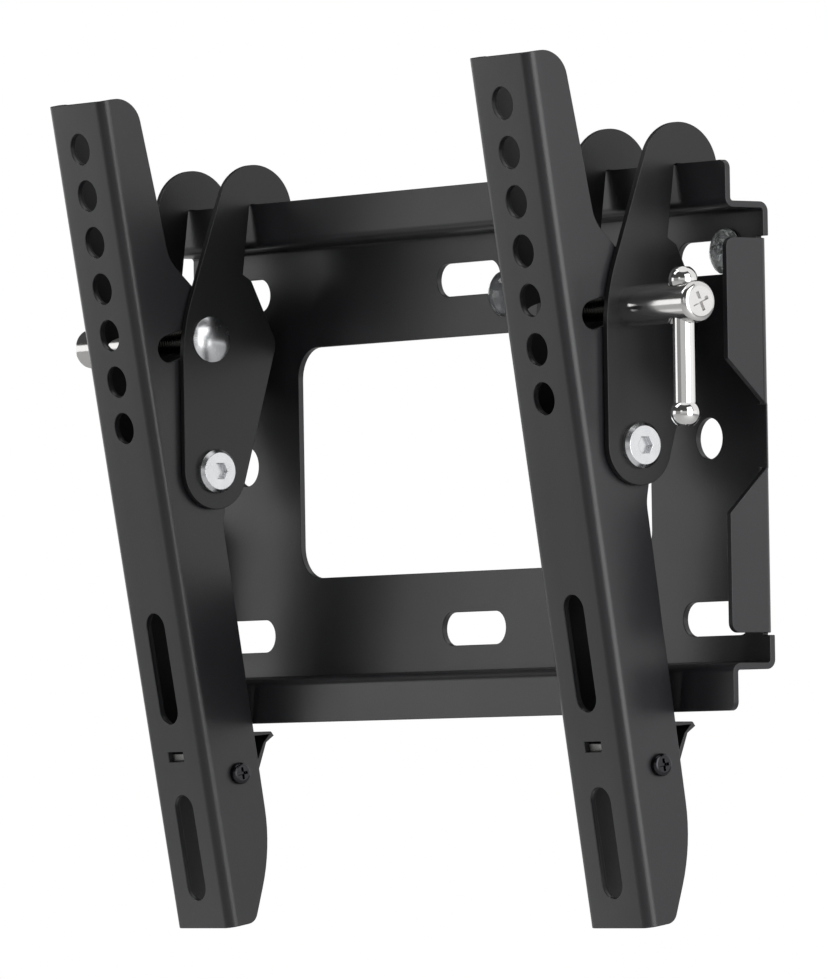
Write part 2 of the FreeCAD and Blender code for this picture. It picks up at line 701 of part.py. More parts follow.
def build_pivot(side):
    """The pivot bolt with its socket head, its nut and the pair of friction washers."""
    label = f"{side}_pivot_bolt"
    bolt = new_body(label)
    half = sketch_on(bolt, "XY_Plane", f"{label}_half")
    end = f"({HOOK_FACE} + pivot_nut_height + bolt_overhang)"
    top = f"{HOOK_FACE} + pivot_head_height"
    outline(half, [
        (f"-{end}", "0"),
        (top, "0"),
        (top, "pivot_head_diameter / 2 - pivot_head_chamfer"),
        (f"{top} - pivot_head_chamfer", "pivot_head_diameter / 2"),
        (HOOK_FACE, "pivot_head_diameter / 2"),
        (HOOK_FACE, "bolt_diameter / 2"),
        (f"bolt_end_chamfer - {end}", "bolt_diameter / 2"),
        (f"-{end}", "bolt_diameter / 2 - bolt_end_chamfer"),
    ])
    turned(bolt, "Revolution", f"{label}_blank", half, "H_Axis")
    socket = sketch_on(bolt, "YZ_Plane", f"{label}_socket_outline", top)
    hexagon(socket, "socket_width")
    feature(bolt, "Pocket", f"{label}_socket", socket, "socket_depth")
    nut = build_nut(f"{side}_pivot_nut", HOOK_FACE, "pivot_nut_width", "pivot_nut_height",
                    "bolt_diameter")
    washers = new_body(f"{side}_friction_washers")
    washers.AllowCompound = True
    face = sketch_on(washers, "YZ_Plane", f"{side}_washer_outline",
                     "arm_width / 2 + face_clearance")
    ring(face, "0", "0", "washer_diameter")
    ring(face, "0", "0", BOLT_BORE)
    washer = feature(washers, "Pad", f"{side}_washer", face, "hook_gap - 2 * face_clearance")
    mirrored(washers, f"{side}_washer_pair", washer)
    for item in (bolt, nut, washers):
        place(item, f"{side}_arm_place", "-pivot_reach", "-pivot_drop")
    return [bolt, nut, washers]


def build_clamp(side):
    """The tilt bolt with its domed head, and the barrel, bar and balls that tighten it."""
    label = f"{side}_tilt_bolt"
    bolt = new_body(label)
    half = sketch_on(bolt, "XY_Plane", f"{label}_half")
    end = f"({HOOK_FACE} + barrel_thread_reach)"
    crowned(half, [
        (f"-({HOOK_FACE} + tilt_head_height)", "0"),
        (end, "0"),
        (end, "bolt_diameter / 2 - bolt_end_chamfer"),
        (f"{end} - bolt_end_chamfer", "bolt_diameter / 2"),
        (f"-{HOOK_FACE}", "bolt_diameter / 2"),
        (f"-{HOOK_FACE}", "tilt_head_diameter / 2"),
        (f"-{HOOK_FACE} - tilt_head_rim", "tilt_head_diameter / 2"),
    ], "H_Axis")
    turned(bolt, "Revolution", f"{label}_domed", half, "H_Axis")

    label = f"{side}_clamp_barrel"
    barrel = new_body(label)
    wall = sketch_on(barrel, "XY_Plane", f"{label}_half")
    base = f"({HOOK_FACE} + face_clearance)"
    tip = f"({HOOK_FACE} + barrel_length)"
    outline(wall, [
        (base, "0"),
        (tip, "0"),
        (tip, "barrel_diameter / 2 - barrel_chamfer"),
        (f"{tip} - barrel_chamfer", "barrel_diameter / 2"),
        (base, "barrel_diameter / 2"),
    ])
    turned(barrel, "Revolution", f"{label}_blank", wall, "H_Axis")
    bore = sketch_on(barrel, "YZ_Plane", f"{label}_bore_outline", HOOK_FACE)
    ring(bore, "0", "0", BOLT_BORE)
    feature(barrel, "Pocket", f"{label}_bore", bore, "barrel_bore_depth", reverse=True)
    recess = sketch_on(barrel, "YZ_Plane", f"{label}_cross_outline", tip)
    cross(recess, "cross_length", "cross_width")
    feature(barrel, "Pocket", f"{label}_cross", recess, "cross_depth")
    across = f"{HOOK_FACE} + bar_place"
    eye = sketch_on(barrel, "XY_Plane", f"{label}_eye_outline")
    ring(eye, across, "0", "bar_diameter + 2 * running_clearance")
    feature(barrel, "Pocket", f"{label}_eye", eye, symmetric=True)
    for name, sign, diameter in (("upper", "", "ball_upper_diameter"),
                                 ("lower", "-", "ball_lower_diameter")):
        seat = sketch_on(barrel, "XZ_Plane", f"{label}_{name}_seat_half")
        seat.setExpression("AttachmentOffset.Base.x", bound(across))
        radius = f"({diameter} / 2 + ball_seat_clearance)"
        crowned(seat, [
            ("0", f"{sign}(bar_ball_upper - {radius})"),
            ("0", f"{sign}(bar_ball_upper + {radius})"),
        ], "V_Axis")
        turned(barrel, "Groove", f"{label}_{name}_seat", seat, "V_Axis")

    label = f"{side}_tommy_bar"
    bar = new_body(label)
    foot = sketch_on(bar, "XY_Plane", f"{label}_outline", "ball_core - bar_ball_lower")
    ring(foot, across, "0", "bar_diameter")
    feature(bar, "Pad", f"{label}_rod", foot, "bar_ball_upper + bar_ball_lower - 2 * ball_core")

    label = f"{side}_tommy_balls"
    balls = new_body(label)
    balls.AllowCompound = True
    bore_radius = "(bar_diameter / 2 + running_clearance)"
    for name, sign, height, diameter in (
            ("upper", "-", "bar_ball_upper", "ball_upper_diameter"),
            ("lower", "", "-bar_ball_lower", "ball_lower_diameter")):
        outline_half = sketch_on(balls, "XZ_Plane", f"{label}_{name}_half")
        outline_half.setExpression("AttachmentOffset.Base.x", bound(across))
        chord = f"sqrt(({diameter} / 2) ^ 2 - {bore_radius} ^ 2)"
        flat = f"sqrt(({diameter} / 2) ^ 2 - ball_flat ^ 2)"
        facing = "-" if sign else "+"
        away = "+" if sign else "-"
        crowned(outline_half, [
            (bore_radius, f"{height} {facing} {chord}"),
            (bore_radius, f"{height} {facing} ball_core"),
            ("0", f"{height} {facing} ball_core"),
            ("0", f"{height} {away} ball_flat"),
            (flat, f"{height} {away} ball_flat"),
        ], "V_Axis")
        turned(balls, "Revolution", f"{label}_{name}", outline_half, "V_Axis")
    flip = side == "left"
    for item in (bolt, barrel, bar, balls):
        lean = "left_bar_turn" if flip and item is not bolt else None
        place(item, f"{side}_arm_place", "-pivot_reach - tilt_bolt_lean",
              "-pivot_drop + tilt_bolt_rise", tilt=lean, flip=flip)
    return [bolt, barrel, bar, balls]


def build_latch(side):
    """The folded latch between the flanges, the screw it swings on and the screw's nut."""
    label = f"{side}_latch"
    latch = new_body(label)
    crook = sketch_on(latch, "YZ_Plane", f"{label}_crook")
    outline(crook, [
        ("0", "-latch_eye_diameter / 2"),
        ("latch_elbow_depth", "-latch_elbow_drop", "latch_elbow_round"),
        ("latch_chin_depth", "latch_chin_height"),
        ("latch_tip_depth", "latch_tip_height"),
        ("latch_nose_depth", "latch_nose_height", "latch_nose_round"),
        ("latch_lip_depth", "latch_lip_height"),
        ("latch_lip_depth", "latch_lip_height - latch_skin"),
        ("latch_throat_depth", "latch_throat_height"),
        ("latch_gullet_depth", "latch_gullet_height"),
        ("latch_inside_depth", "-latch_inside_drop"),
        ("0", "latch_skin - latch_eye_diameter / 2"),
    ])
    feature(latch, "Pad", f"{label}_strap", crook, "2 * latch_half_width", symmetric=True)
    eye = sketch_on(latch, "YZ_Plane", f"{label}_eye_outline")
    ring(eye, "0", "0", "latch_eye_diameter")
    feature(latch, "Pad", f"{label}_eye", eye, "2 * latch_half_width", symmetric=True)
    tab = sketch_on(latch, "YZ_Plane", f"{label}_tab_outline")
    outline(tab, [
        ("-tab_depth", "tab_top"),
        ("-tab_depth", "tab_foot"),
        ("0", "tab_heel - latch_skin"),
        ("0", "tab_heel"),
        ("latch_skin - tab_depth", "tab_foot + latch_skin"),
        ("latch_skin - tab_depth", "tab_top"),
    ])
    feature(latch, "Pad", f"{label}_tab", tab, "2 * tab_half_width", symmetric=True)
    bore = sketch_on(latch, "YZ_Plane", f"{label}_bore_outline")
    ring(bore, "0", "0", "latch_screw_diameter + 2 * running_clearance")
    feature(latch, "Pocket", f"{label}_bore", bore, symmetric=True)

    label = f"{side}_latch_screw"
    screw = new_body(label)
    half = sketch_on(screw, "XY_Plane", f"{label}_half")
    face = "(arm_width / 2)"
    end = f"({face} + latch_nut_height + bolt_overhang)"
    outline(half, [
        (f"-{end}", "0"),
        (f"{face} + screw_head_height", "0"),
        (f"{face} + screw_head_height", "screw_head_diameter / 2", "screw_head_round"),
        (face, "screw_head_diameter / 2"),
        (face, "latch_screw_diameter / 2"),
        (f"-{end}", "latch_screw_diameter / 2"),
    ])
    turned(screw, "Revolution", f"{label}_blank", half, "H_Axis")
    recess = sketch_on(screw, "YZ_Plane", f"{label}_cross_outline", f"{face} + screw_head_height")
    cross(recess, "screw_cross_length", "screw_cross_width")
    feature(screw, "Pocket", f"{label}_cross", recess, "screw_cross_depth")
    nut = build_nut(f"{side}_latch_nut", face, "latch_nut_width", "latch_nut_height",
                    "latch_screw_diameter")
    lean = f"{side}_tilt"
    for item in (latch, screw, nut):
        place(item, f"{side}_arm_place",
              f"-pivot_reach + (latch_depth - arm_front) * cos({lean}) + latch_drop * sin({lean})",
              f"-pivot_drop + (latch_depth - arm_front) * sin({lean}) - latch_drop * cos({lean})",
              tilt=lean)
    return [latch, screw, nut]


nodes = [plate, *discs]
for side in ("left", "right"):
    inward, outward = (1, -1) if side == "left" else (-1, 1)
    nodes.append(build_arm(side))
    nodes.append(build_hook(side, "inner", inward))
    nodes.append(build_hook(side, "outer", outward))
    nodes += build_pivot(side)
    nodes += build_clamp(side)
    nodes += build_latch(side)
doc.recompute()

for item in doc.Objects:
    if "Invalid" in item.State or "Error" in item.State:
        raise ValueError(f"{item.Label} did not compute: {item.State}")
os.makedirs("parts", exist_ok=True)
for node in nodes:
    if node.Shape.isNull() or not node.Shape.isValid():
        raise ValueError(f"{node.Label} has no valid shape")
    node.Shape.exportStep(f"parts/{node.Label}.step")
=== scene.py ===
"""Tilting wall bracket for a television: finishes, screw threads, bubble level, light and camera.

Lengths are metres in the frame of the solid model: +X to the right seen from the front, +Y into
the wall, +Z up, and the origin at the centre of the wall plate's back face. Angles that are kept
in fields are degrees.
"""

import logging
import math
from collections.abc import Callable
from dataclasses import dataclass
from enum import Enum, StrEnum
from functools import cached_property

import bmesh
import bpy
from mathutils import Matrix, Vector


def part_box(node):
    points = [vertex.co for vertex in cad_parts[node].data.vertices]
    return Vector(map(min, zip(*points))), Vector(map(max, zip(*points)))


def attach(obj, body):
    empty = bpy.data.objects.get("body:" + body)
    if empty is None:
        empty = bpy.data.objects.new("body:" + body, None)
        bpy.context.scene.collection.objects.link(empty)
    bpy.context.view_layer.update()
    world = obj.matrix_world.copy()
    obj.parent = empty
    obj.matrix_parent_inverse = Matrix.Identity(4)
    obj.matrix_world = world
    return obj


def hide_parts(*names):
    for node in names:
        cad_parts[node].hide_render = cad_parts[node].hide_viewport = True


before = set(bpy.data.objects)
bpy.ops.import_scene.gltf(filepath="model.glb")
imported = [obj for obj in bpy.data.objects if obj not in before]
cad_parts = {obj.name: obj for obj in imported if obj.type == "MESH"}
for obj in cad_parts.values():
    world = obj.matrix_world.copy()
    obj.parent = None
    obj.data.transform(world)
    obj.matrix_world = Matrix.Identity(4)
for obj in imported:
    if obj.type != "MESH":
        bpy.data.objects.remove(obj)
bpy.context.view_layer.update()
log = logging.getLogger("bracket")

Number = "float | Value"
Socket = bpy.types.NodeSocket
Colour = tuple[float, float, float]
Point = tuple[float, float, float]
Span = tuple[float, float]

MM = 0.001
NEAR = 1e-6  # how close two places may be and count as one
MERGE = 0.002 * MM  # points of a copied mesh that are nearer than this become one
WELD = 0.0005 * MM  # and points of a wound thread
FLAT = 0.05  # faces that meet at a smaller angle become one
RIGHT_ANGLE = 90.0
ALONG_X = 0.99  # a direction with at least this X runs along X
ACROSS_X = 0.01  # and one with at most this X runs square to it
NOISE_MEAN = 0.5
WAVE_FACTOR = 20.0  # what a Wave texture multiplies its coordinates by
WHITE = (1.0, 1.0, 1.0)
BLACK = (0.0, 0.0, 0.0)


class Side(StrEnum):
    """The two arms, named as seen from the front."""

    LEFT = "left"
    RIGHT = "right"


class Element(StrEnum):
    """What is picked in an open mesh."""

    VERT = "VERT"
    EDGE = "EDGE"
    FACE = "FACE"


class Turning(Enum):
    """Where the centre of the lathe marks on a bright piece lies, as (Y, Z)."""

    PIVOT = (-32.3 * MM, -2.5 * MM)
    TILT = (-33.55 * MM, 39.5 * MM)
    NONE = (0.0, 0.0)


ARM_FRONT = 20.4 * MM  # from the pivot's axis forward to the arm's front face
ARM_MIDDLE = {Side.LEFT: -111.2 * MM, Side.RIGHT: 104.8 * MM}
ARM_TILT = {Side.LEFT: 10.0, Side.RIGHT: 9.0}
# X spans, one across each arm, where painted shade darkens the tilt bolt
BOLT_SHADE_SPAN = {Side.LEFT: (-128.0 * MM, -94.5 * MM), Side.RIGHT: (88.1 * MM, 121.6 * MM)}


class Value:
    """A number socket that takes part in sums, each of which adds a Math node."""

    def __init__(self, tree: "Tree", socket: Socket) -> None:
        """Keeps the socket and the tree it stands in."""
        self.tree = tree
        self.socket = socket

    def __add__(self, other: Number) -> "Value":
        """This plus the other."""
        return self.tree.math("ADD", self, other)

    def __radd__(self, other: Number) -> "Value":
        """The other plus this."""
        return self.tree.math("ADD", other, self)

    def __sub__(self, other: Number) -> "Value":
        """This less the other."""
        return self.tree.math("SUBTRACT", self, other)

    def __rsub__(self, other: Number) -> "Value":
        """The other less this."""
        return self.tree.math("SUBTRACT", other, self)

    def __mul__(self, other: Number) -> "Value":
        """This times the other."""
        return self.tree.math("MULTIPLY", self, other)

    def __rmul__(self, other: Number) -> "Value":
        """The other times this."""
        return self.tree.math("MULTIPLY", other, self)

    def __truediv__(self, other: Number) -> "Value":
        """This over the other."""
        return self.tree.math("DIVIDE", self, other)

    def __rtruediv__(self, other: Number) -> "Value":
        """The other over this."""
        return self.tree.math("DIVIDE", other, self)

    def held(self, low: float, high: float) -> "Value":
        """This kept between two limits."""
        return self.tree.math("MINIMUM", self.tree.math("MAXIMUM", self, low), high)

    def above(self, level: float, width: float) -> "Value":
        """A mask that rises from 0 to 1 over a width that starts at the level."""
        return ((self - level) / width).held(0.0, 1.0)

    def swing(self, amount: float) -> "Value":
        """This noise as a change up and down, both by half of the amount at most."""
        return (self - NOISE_MEAN) * amount


class Tree:
    """The node tree of one material or of the world, with one method that adds its nodes."""

    def __init__(self, owner: bpy.types.Material | bpy.types.World) -> None:
        """Turns nodes on for the owner and clears its tree.

        Args:
            owner: the material or the world.
        """
        owner.use_nodes = True
        self.nodes = owner.node_tree.nodes
        self.links = owner.node_tree.links
        self.nodes.clear()

    def add(self, kind: str, settings: dict | None = None, **sockets: object) -> bpy.types.Node:
        """Adds a node.

        Args:
            kind: the node's type without the ShaderNode in front.
            settings: the node's own properties, which are set first.
            sockets: values or links of its inputs, each under the input's name with _ for a
                space, or under at_ and its number.

        Returns:
            The new node.
        """
        node = self.nodes.new(f"ShaderNode{kind}")
        for key, value in (settings or {}).items():
            setattr(node, key, value)
        for key, value in sockets.items():
            self._feed(self._input(node, key), value)
        return node

    def math(self, operation: str, *terms: Number) -> Value:
        """Adds a Math node.

        Args:
            operation: what it does.
            terms: its one or two numbers.

        Returns:
            The result.
        """
        names = {f"at_{place}": term for place, term in enumerate(terms)}
        return Value(self, self.add("Math", {"operation": operation}, **names).outputs[0])

    @cached_property
    def place(self) -> Socket:
        """The object coordinates."""
        return self.add("TexCoord").outputs["Object"]

    def split(self) -> list[Value]:
        """The X, Y and Z of the object coordinates."""
        return [Value(self, part) for part in self.add("SeparateXYZ", Vector=self.place).outputs]

    def noise(self, size: float, detail: float = 2.0, roughness: float = 0.5,
              place: Socket | None = None) -> Value:
        """A noise between 0 and 1.

        Args:
            size: the breadth of its spots.
            detail: how many finer layers it has.
            roughness: how strong the finer layers are.
            place: what it is read at, where that isn't the object coordinates.

        Returns:
            The noise.
        """
        node = self.add("TexNoise", Vector=self.place if place is None else place,
                        Scale=1.0 / size, Detail=detail, Roughness=roughness)
        return Value(self, node.outputs["Fac"])

    def blend(self, mask: Number, first: object, second: object) -> Socket:
        """A colour between two colours.

        Args:
            mask: 0 for the first and 1 for the second.
            first: a colour or a link.
            second: a colour or a link.

        Returns:
            The mixed colour.
        """
        node = self.add("Mix", {"data_type": "RGBA"}, at_0=mask, at_6=first, at_7=second)
        return node.outputs[2]

    def bump(self, height: Value, relief: float) -> Socket:
        """A normal that makes a height between 0 and 1 stand out by the relief."""
        return self.add("Bump", Strength=1.0, Distance=relief, Height=height).outputs[0]

    @staticmethod
    def _input(node: bpy.types.Node, key: str) -> Socket:
        """Finds an input of a node.

        Args:
            node: the node.
            key: the input's name with _ for a space, or at_ and its number.

        Returns:
            The input.
        """
        if key.startswith("at_"):
            return node.inputs[int(key.removeprefix("at_"))]
        return node.inputs[key.replace("_", " ")]

    def _feed(self, socket: Socket, value: object) -> None:
        """Links an input or sets its value.

        Args:
            socket: the input.
            value: a value or a socket to link, or the colour, vector or number to set.
        """
        if isinstance(value, Value):
            self.links.new(value.socket, socket)
        elif isinstance(value, Socket):
            self.links.new(value, socket)
        elif isinstance(value, tuple) and socket.type == "RGBA":
            socket.default_value = (*value, 1.0)
        else:
            socket.default_value = value


def depth_in_arm(y: Value, z: Value, tilt: float) -> Value:
    """How far a place lies behind the front face of an arm.

    Args:
        y: the place's Y.
        z: the place's Z.
        tilt: the arm's tilt about its pivot.

    Returns:
        The depth, square to the face.
    """
    pivot_y, pivot_z = Turning.PIVOT.value
    lean = math.radians(tilt)
    return (y - pivot_y) * math.cos(lean) + (z - pivot_z) * math.sin(lean) + ARM_FRONT


@dataclass(frozen=True)
class Finish:
    """What every surface finish shares: a name, the record's slot, and one shader.

    The name is never a slot's, because the solid model's own materials bear the slots' names.
    """

    name: str
    slot: str

    def material(self) -> bpy.types.Material:
        """Makes the finish's material the first time that it is asked for.

        Returns:
            The material.
        """
        found = bpy.data.materials.get(self.name)
        if found is None:
            found = bpy.data.materials.new(self.name)
            tree = Tree(found)
            tree.add("OutputMaterial", Surface=self.shade(tree).outputs[0])
        return found

    def shade(self, tree: Tree) -> bpy.types.Node:
        """Builds the shader of the finish.

        Args:
            tree: the material's tree.

        Returns:
            The shader node.
        """
        raise NotImplementedError

    def dress(self, piece: bpy.types.Object) -> None:
        """Gives the finish to a piece or a node of the solid model.

        Args:
            piece: the piece or node.
        """
        if not piece.material_slots:
            piece.data.materials.append(None)
        for slot in piece.material_slots:
            slot.material = self.material()


@dataclass(frozen=True)
class PowderCoat(Finish):
    """Black powder paint: a fine pebbled skin over soft waves, a little uneven in its gloss."""

    colour: Colour = (0.009, 0.009, 0.011)
    dusty: Colour = (0.018, 0.018, 0.021)
    # colour of the painted shade on the walls inside an arm's channel
    thin_colour: Colour = (0.004, 0.004, 0.004)
    roughness: float = 0.34
    thin_roughness: float = 0.40
    ior: float = 1.55
    pebble: float = 0.42 * MM
    wave: float = 2.6 * MM
    patch: float = 31.0 * MM
    speck: float = 0.75 * MM
    speck_step: Span = (0.72, 0.05)
    patch_dust: float = 0.55
    speck_dust: float = 0.45
    patch_gloss: float = 0.10
    pebble_gloss: float = 0.06
    pebble_height: float = 0.75
    wave_height: float = 0.55
    relief: float = 0.028 * MM

    def shade(self, tree: Tree) -> bpy.types.Node:
        """Builds the paint.

        Args:
            tree: the material's tree.

        Returns:
            The shader node.
        """
        pebbles = tree.noise(self.pebble, detail=1.0, roughness=0.4)
        waves = tree.noise(self.wave)
        patches = tree.noise(self.patch, detail=3.0)
        specks = tree.noise(self.speck, detail=0.0).above(*self.speck_step)
        thin = self.thin(tree)
        dust = patches * self.patch_dust + specks * self.speck_dust
        skin = tree.blend(dust, self.colour, self.dusty)
        # painted shade inside an arm's channel and a painted highlight on a latch's tab, where the
        # mask is 1
        skin = tree.blend(thin, skin, self.thin_colour)
        gloss = self.roughness + patches.swing(self.patch_gloss) + pebbles.swing(self.pebble_gloss)
        gloss = gloss + thin * self.thin_roughness
        height = pebbles * self.pebble_height + waves * self.wave_height
        return tree.add("BsdfPrincipled", Base_Color=skin, Roughness=gloss,
                        Normal=tree.bump(height, self.relief), IOR=self.ior)

    def thin(self, tree: Tree) -> Number:
        """Where light or shade is painted on the paint, which is nowhere on an open sheet."""
        return 0.0


@dataclass(frozen=True)
class ChannelCoat(PowderCoat):
    """Powder paint on a channel arm, with painted shade darkening the walls inside the channel,
    which are also rougher.
    """

    middle: float = 0.0
    tilt: float = 0.0
    half_inside: float = 14.0 * MM
    front_wall: float = 1.0 * MM
    edge: float = 0.2 * MM

    def thin(self, tree: Tree) -> Number:
        """Finds the walls inside the channel, where the shade is painted.

        Args:
            tree: the material's tree.

        Returns:
            1 between the flanges and behind the front wall, and 0 elsewhere.
        """
        x, y, z = tree.split()
        aside = tree.math("ABSOLUTE", x - self.middle)
        between = (self.half_inside - aside).above(0.0, self.edge)
        return between * depth_in_arm(y, z, self.tilt).above(self.front_wall, self.edge)


@dataclass(frozen=True)
class LatchPaint(PowderCoat):
    """Black paint of a latch, with a pale painted highlight on the tab behind the arm's window."""

    dusty: Colour = (0.019, 0.019, 0.020)
    # pale colour of the painted highlight on the latch's tab
    thin_colour: Colour = (0.62, 0.62, 0.60)
    roughness: float = 0.28
    thin_roughness: float = 0.0
    tilt: float = 0.0
    tab_depth: float = 3.3 * MM
    edge: float = 0.3 * MM

    def thin(self, tree: Tree) -> Number:
        """Finds the tab with the painted highlight.

        Args:
            tree: the material's tree.

        Returns:
            1 just behind the arm's front wall, and 0 elsewhere.
        """
        _, y, z = tree.split()
        return (self.tab_depth - depth_in_arm(y, z, self.tilt)).above(0.0, self.edge)


@dataclass(frozen=True)
class Plating(Finish):
    """Plated steel with faint lathe rings, fine scuffs and an uneven gloss.

    Painted shade darkens it between the two X of its span, across the width of an arm.
    """

    colour: Colour = (0.70, 0.71, 0.72)
    shade_colour: Colour = (0.54, 0.55, 0.57)
    # colour of the painted shade on a tilt bolt where it passes through its arm
    grease: Colour = (0.035, 0.034, 0.032)
    roughness: float = 0.26
    scuff: float = 0.10
    turning: Turning = Turning.NONE
    greased: Span | None = None
    grease_edge: float = 0.4 * MM
    ring: float = 0.22 * MM
    cloud: float = 3.5 * MM
    grit: float = 0.30 * MM
    cloud_tint: float = 0.5
    grit_tint: float = 0.2
    ring_height: float = 0.5
    grit_height: float = 0.5
    relief: float = 0.004 * MM

    def shade(self, tree: Tree) -> bpy.types.Node:
        """Builds the plating.

        Args:
            tree: the material's tree.

        Returns:
            The shader node.
        """
        y, z = self.turning.value
        centred = tree.add("Mapping", {"vector_type": "POINT"}, Vector=tree.place,
                           Location=(0.0, -y, -z)).outputs[0]
        wave = tree.add("TexWave", {"wave_type": "RINGS", "rings_direction": "X"},
                        Vector=centred, Scale=1.0 / (WAVE_FACTOR * self.ring), Distortion=0.6,
                        Detail=1.0, Detail_Scale=2.0)
        rings = Value(tree, wave.outputs["Fac"])
        cloud = tree.noise(self.cloud, detail=3.0)
        grit = tree.noise(self.grit, roughness=0.6)
        skin = tree.blend(cloud * self.cloud_tint + grit * self.grit_tint, self.colour,
                          self.shade_colour)
        # painted shade where the bolt passes through the arm
        if self.greased:
            low, high = self.greased
            x = tree.split()[0]
            bolt_shade_mask = x.above(low, self.grease_edge) * (high - x).above(0.0, self.grease_edge)
            skin = tree.blend(bolt_shade_mask, skin, self.grease)
        gloss = self.roughness + cloud.swing(self.scuff) + grit.swing(0.5 * self.scuff)
        height = rings * self.ring_height + grit * self.grit_height
        return tree.add("BsdfPrincipled", Base_Color=skin, Roughness=gloss, Metallic=1.0,
                        Normal=tree.bump(height, self.relief))


@dataclass(frozen=True)
class Fibre(Finish):
    """Pressed fibre of a friction washer."""

    colour: Colour = (0.045, 0.038, 0.032)
    fleck: Colour = (0.10, 0.085, 0.070)
    fleck_step: Span = (0.45, 0.25)
    strand: float = 0.5 * MM
    stretch: Point = (1.0, 0.35, 1.0)
    roughness: float = 0.8
    strand_gloss: float = 0.2
    relief: float = 0.05 * MM

    def shade(self, tree: Tree) -> bpy.types.Node:
        """Builds the fibre board.

        Args:
            tree: the material's tree.

        Returns:
            The shader node.
        """
        drawn = tree.add("Mapping", Vector=tree.place, Scale=self.stretch).outputs[0]
        strands = tree.noise(self.strand, detail=4.0, roughness=0.65, place=drawn)
        skin = tree.blend(strands.above(*self.fleck_step), self.colour, self.fleck)
        return tree.add("BsdfPrincipled", Base_Color=skin,
                        Roughness=self.roughness + strands.swing(self.strand_gloss),
                        Normal=tree.bump(strands, self.relief))


@dataclass(frozen=True)
class ClearPlastic(Finish):
    """Clear moulded plastic or liquid with a slight tint and a few flow marks."""

    colour: Colour = (0.86, 0.90, 0.90)
    ior: float = 1.47
    roughness: float = 0.03
    flow_gloss: float = 0.03
    ripple: float = 2.4 * MM
    relief: float = 0.05 * MM

    def shade(self, tree: Tree) -> bpy.types.Node:
        """Builds the clear body.

        Args:
            tree: the material's tree.

        Returns:
            The shader node.
        """
        flow = tree.noise(self.ripple)
        return tree.add("BsdfPrincipled", Base_Color=self.colour, IOR=self.ior,
                        Roughness=self.roughness + flow * self.flow_gloss,
                        Transmission_Weight=1.0, Normal=tree.bump(flow, self.relief))


@dataclass(frozen=True)
class Moulding(Finish):
    """Opaque moulded plastic with a fine grain from an EDM-textured mould, and clouds and flecks
    of other tones, which on the vial's cup are painted highlights.
    """

    colour: Colour = (0.07, 0.075, 0.08)
    pale: Colour = (0.11, 0.115, 0.12)
    pale_step: Span = (0.35, 0.30)
    spark: Colour = (0.11, 0.115, 0.12)
    spark_step: Span = (0.63, 0.05)
    spark_spread: float = 1.3
    cloud: float = 2.0 * MM
    grain: float = 0.25 * MM
    roughness: float = 0.38
    grain_gloss: float = 0.1
    relief: float = 0.02 * MM

    def shade(self, tree: Tree) -> bpy.types.Node:
        """Builds the moulding.

        Args:
            tree: the material's tree.

        Returns:
            The shader node.
        """
        grain = tree.noise(self.grain)
        cloud = tree.noise(self.cloud)
        flecks_and_glints = tree.noise(self.spark_spread * self.cloud, detail=0.0)
        skin = tree.blend(cloud.above(*self.pale_step), self.colour, self.pale)
        # flecks of a third tone: near-white painted glints on the vial's cup, grain elsewhere
        skin = tree.blend(flecks_and_glints.above(*self.spark_step), skin, self.spark)
        return tree.add("BsdfPrincipled", Base_Color=skin,
                        Roughness=self.roughness + grain.swing(self.grain_gloss),
                        Normal=tree.bump(grain, self.relief))


@dataclass(frozen=True)
class StageSurface(Finish):
    """A plain matt surface of the studio, with a light of its own where it is a card."""

    colour: Colour = WHITE
    glow: float = 0.0
    roughness: float = 0.9

    def shade(self, tree: Tree) -> bpy.types.Node:
        """Builds the matt surface.

        Args:
            tree: the material's tree.

        Returns:
            The shader node.
        """
        return tree.add("BsdfPrincipled", Base_Color=self.colour, Roughness=self.roughness,
                        Emission_Color=WHITE, Emission_Strength=self.glow)


POWDER = PowderCoat("black_powder_coat", "powder_coat")
# a darker copy of the black powder paint for the hook plates: painted shade
SHADED_HOOK_COAT = PowderCoat("black_hook_coat", "powder_coat", (0.007, 0.007, 0.008),
                       (0.013, 0.013, 0.014), ior=1.47)
ARM_COAT = {side: ChannelCoat(f"black_{side}_arm_coat", "powder_coat", middle=ARM_MIDDLE[side],
                              tilt=ARM_TILT[side]) for side in Side}
LATCH_PAINT = {side: LatchPaint(f"black_{side}_latch_paint", "black_latch", tilt=ARM_TILT[side])
               for side in Side}
ZINC_PIVOT = Plating("bright_zinc_pivot", "zinc_plate", turning=Turning.PIVOT)
# with painted shade where each tilt bolt passes through its arm
ZINC_TILT = {side: Plating(f"bright_zinc_{side}_tilt", "zinc_plate", turning=Turning.TILT,
                           greased=BOLT_SHADE_SPAN[side]) for side in Side}
NICKEL = Plating("polished_nickel", "nickel_plate", (0.76, 0.755, 0.745), (0.70, 0.69, 0.68),
                 roughness=0.08, scuff=0.05, turning=Turning.TILT, relief=0.0010 * MM)
TURNED_NICKEL = Plating("turned_nickel", "nickel_plate", (0.70, 0.69, 0.68), (0.60, 0.59, 0.58),
                        roughness=0.15, scuff=0.06, turning=Turning.TILT, relief=0.0020 * MM)
BLACK_ZINC = Plating("dark_zinc", "black_zinc", (0.050, 0.050, 0.055), (0.022, 0.022, 0.024),
                     roughness=0.16)
FIBRE = Fibre("pressed_fibre", "fibre")
VIAL = ClearPlastic("clear_vial", "clear_plastic", roughness=0.06, ripple=1.5 * MM,
                    relief=0.55 * MM)
CLEAR = ClearPlastic("clear_disc", "clear_plastic")
AIR = ClearPlastic("bubble_air", "clear_plastic", colour=WHITE, ior=0.69, roughness=0.0)
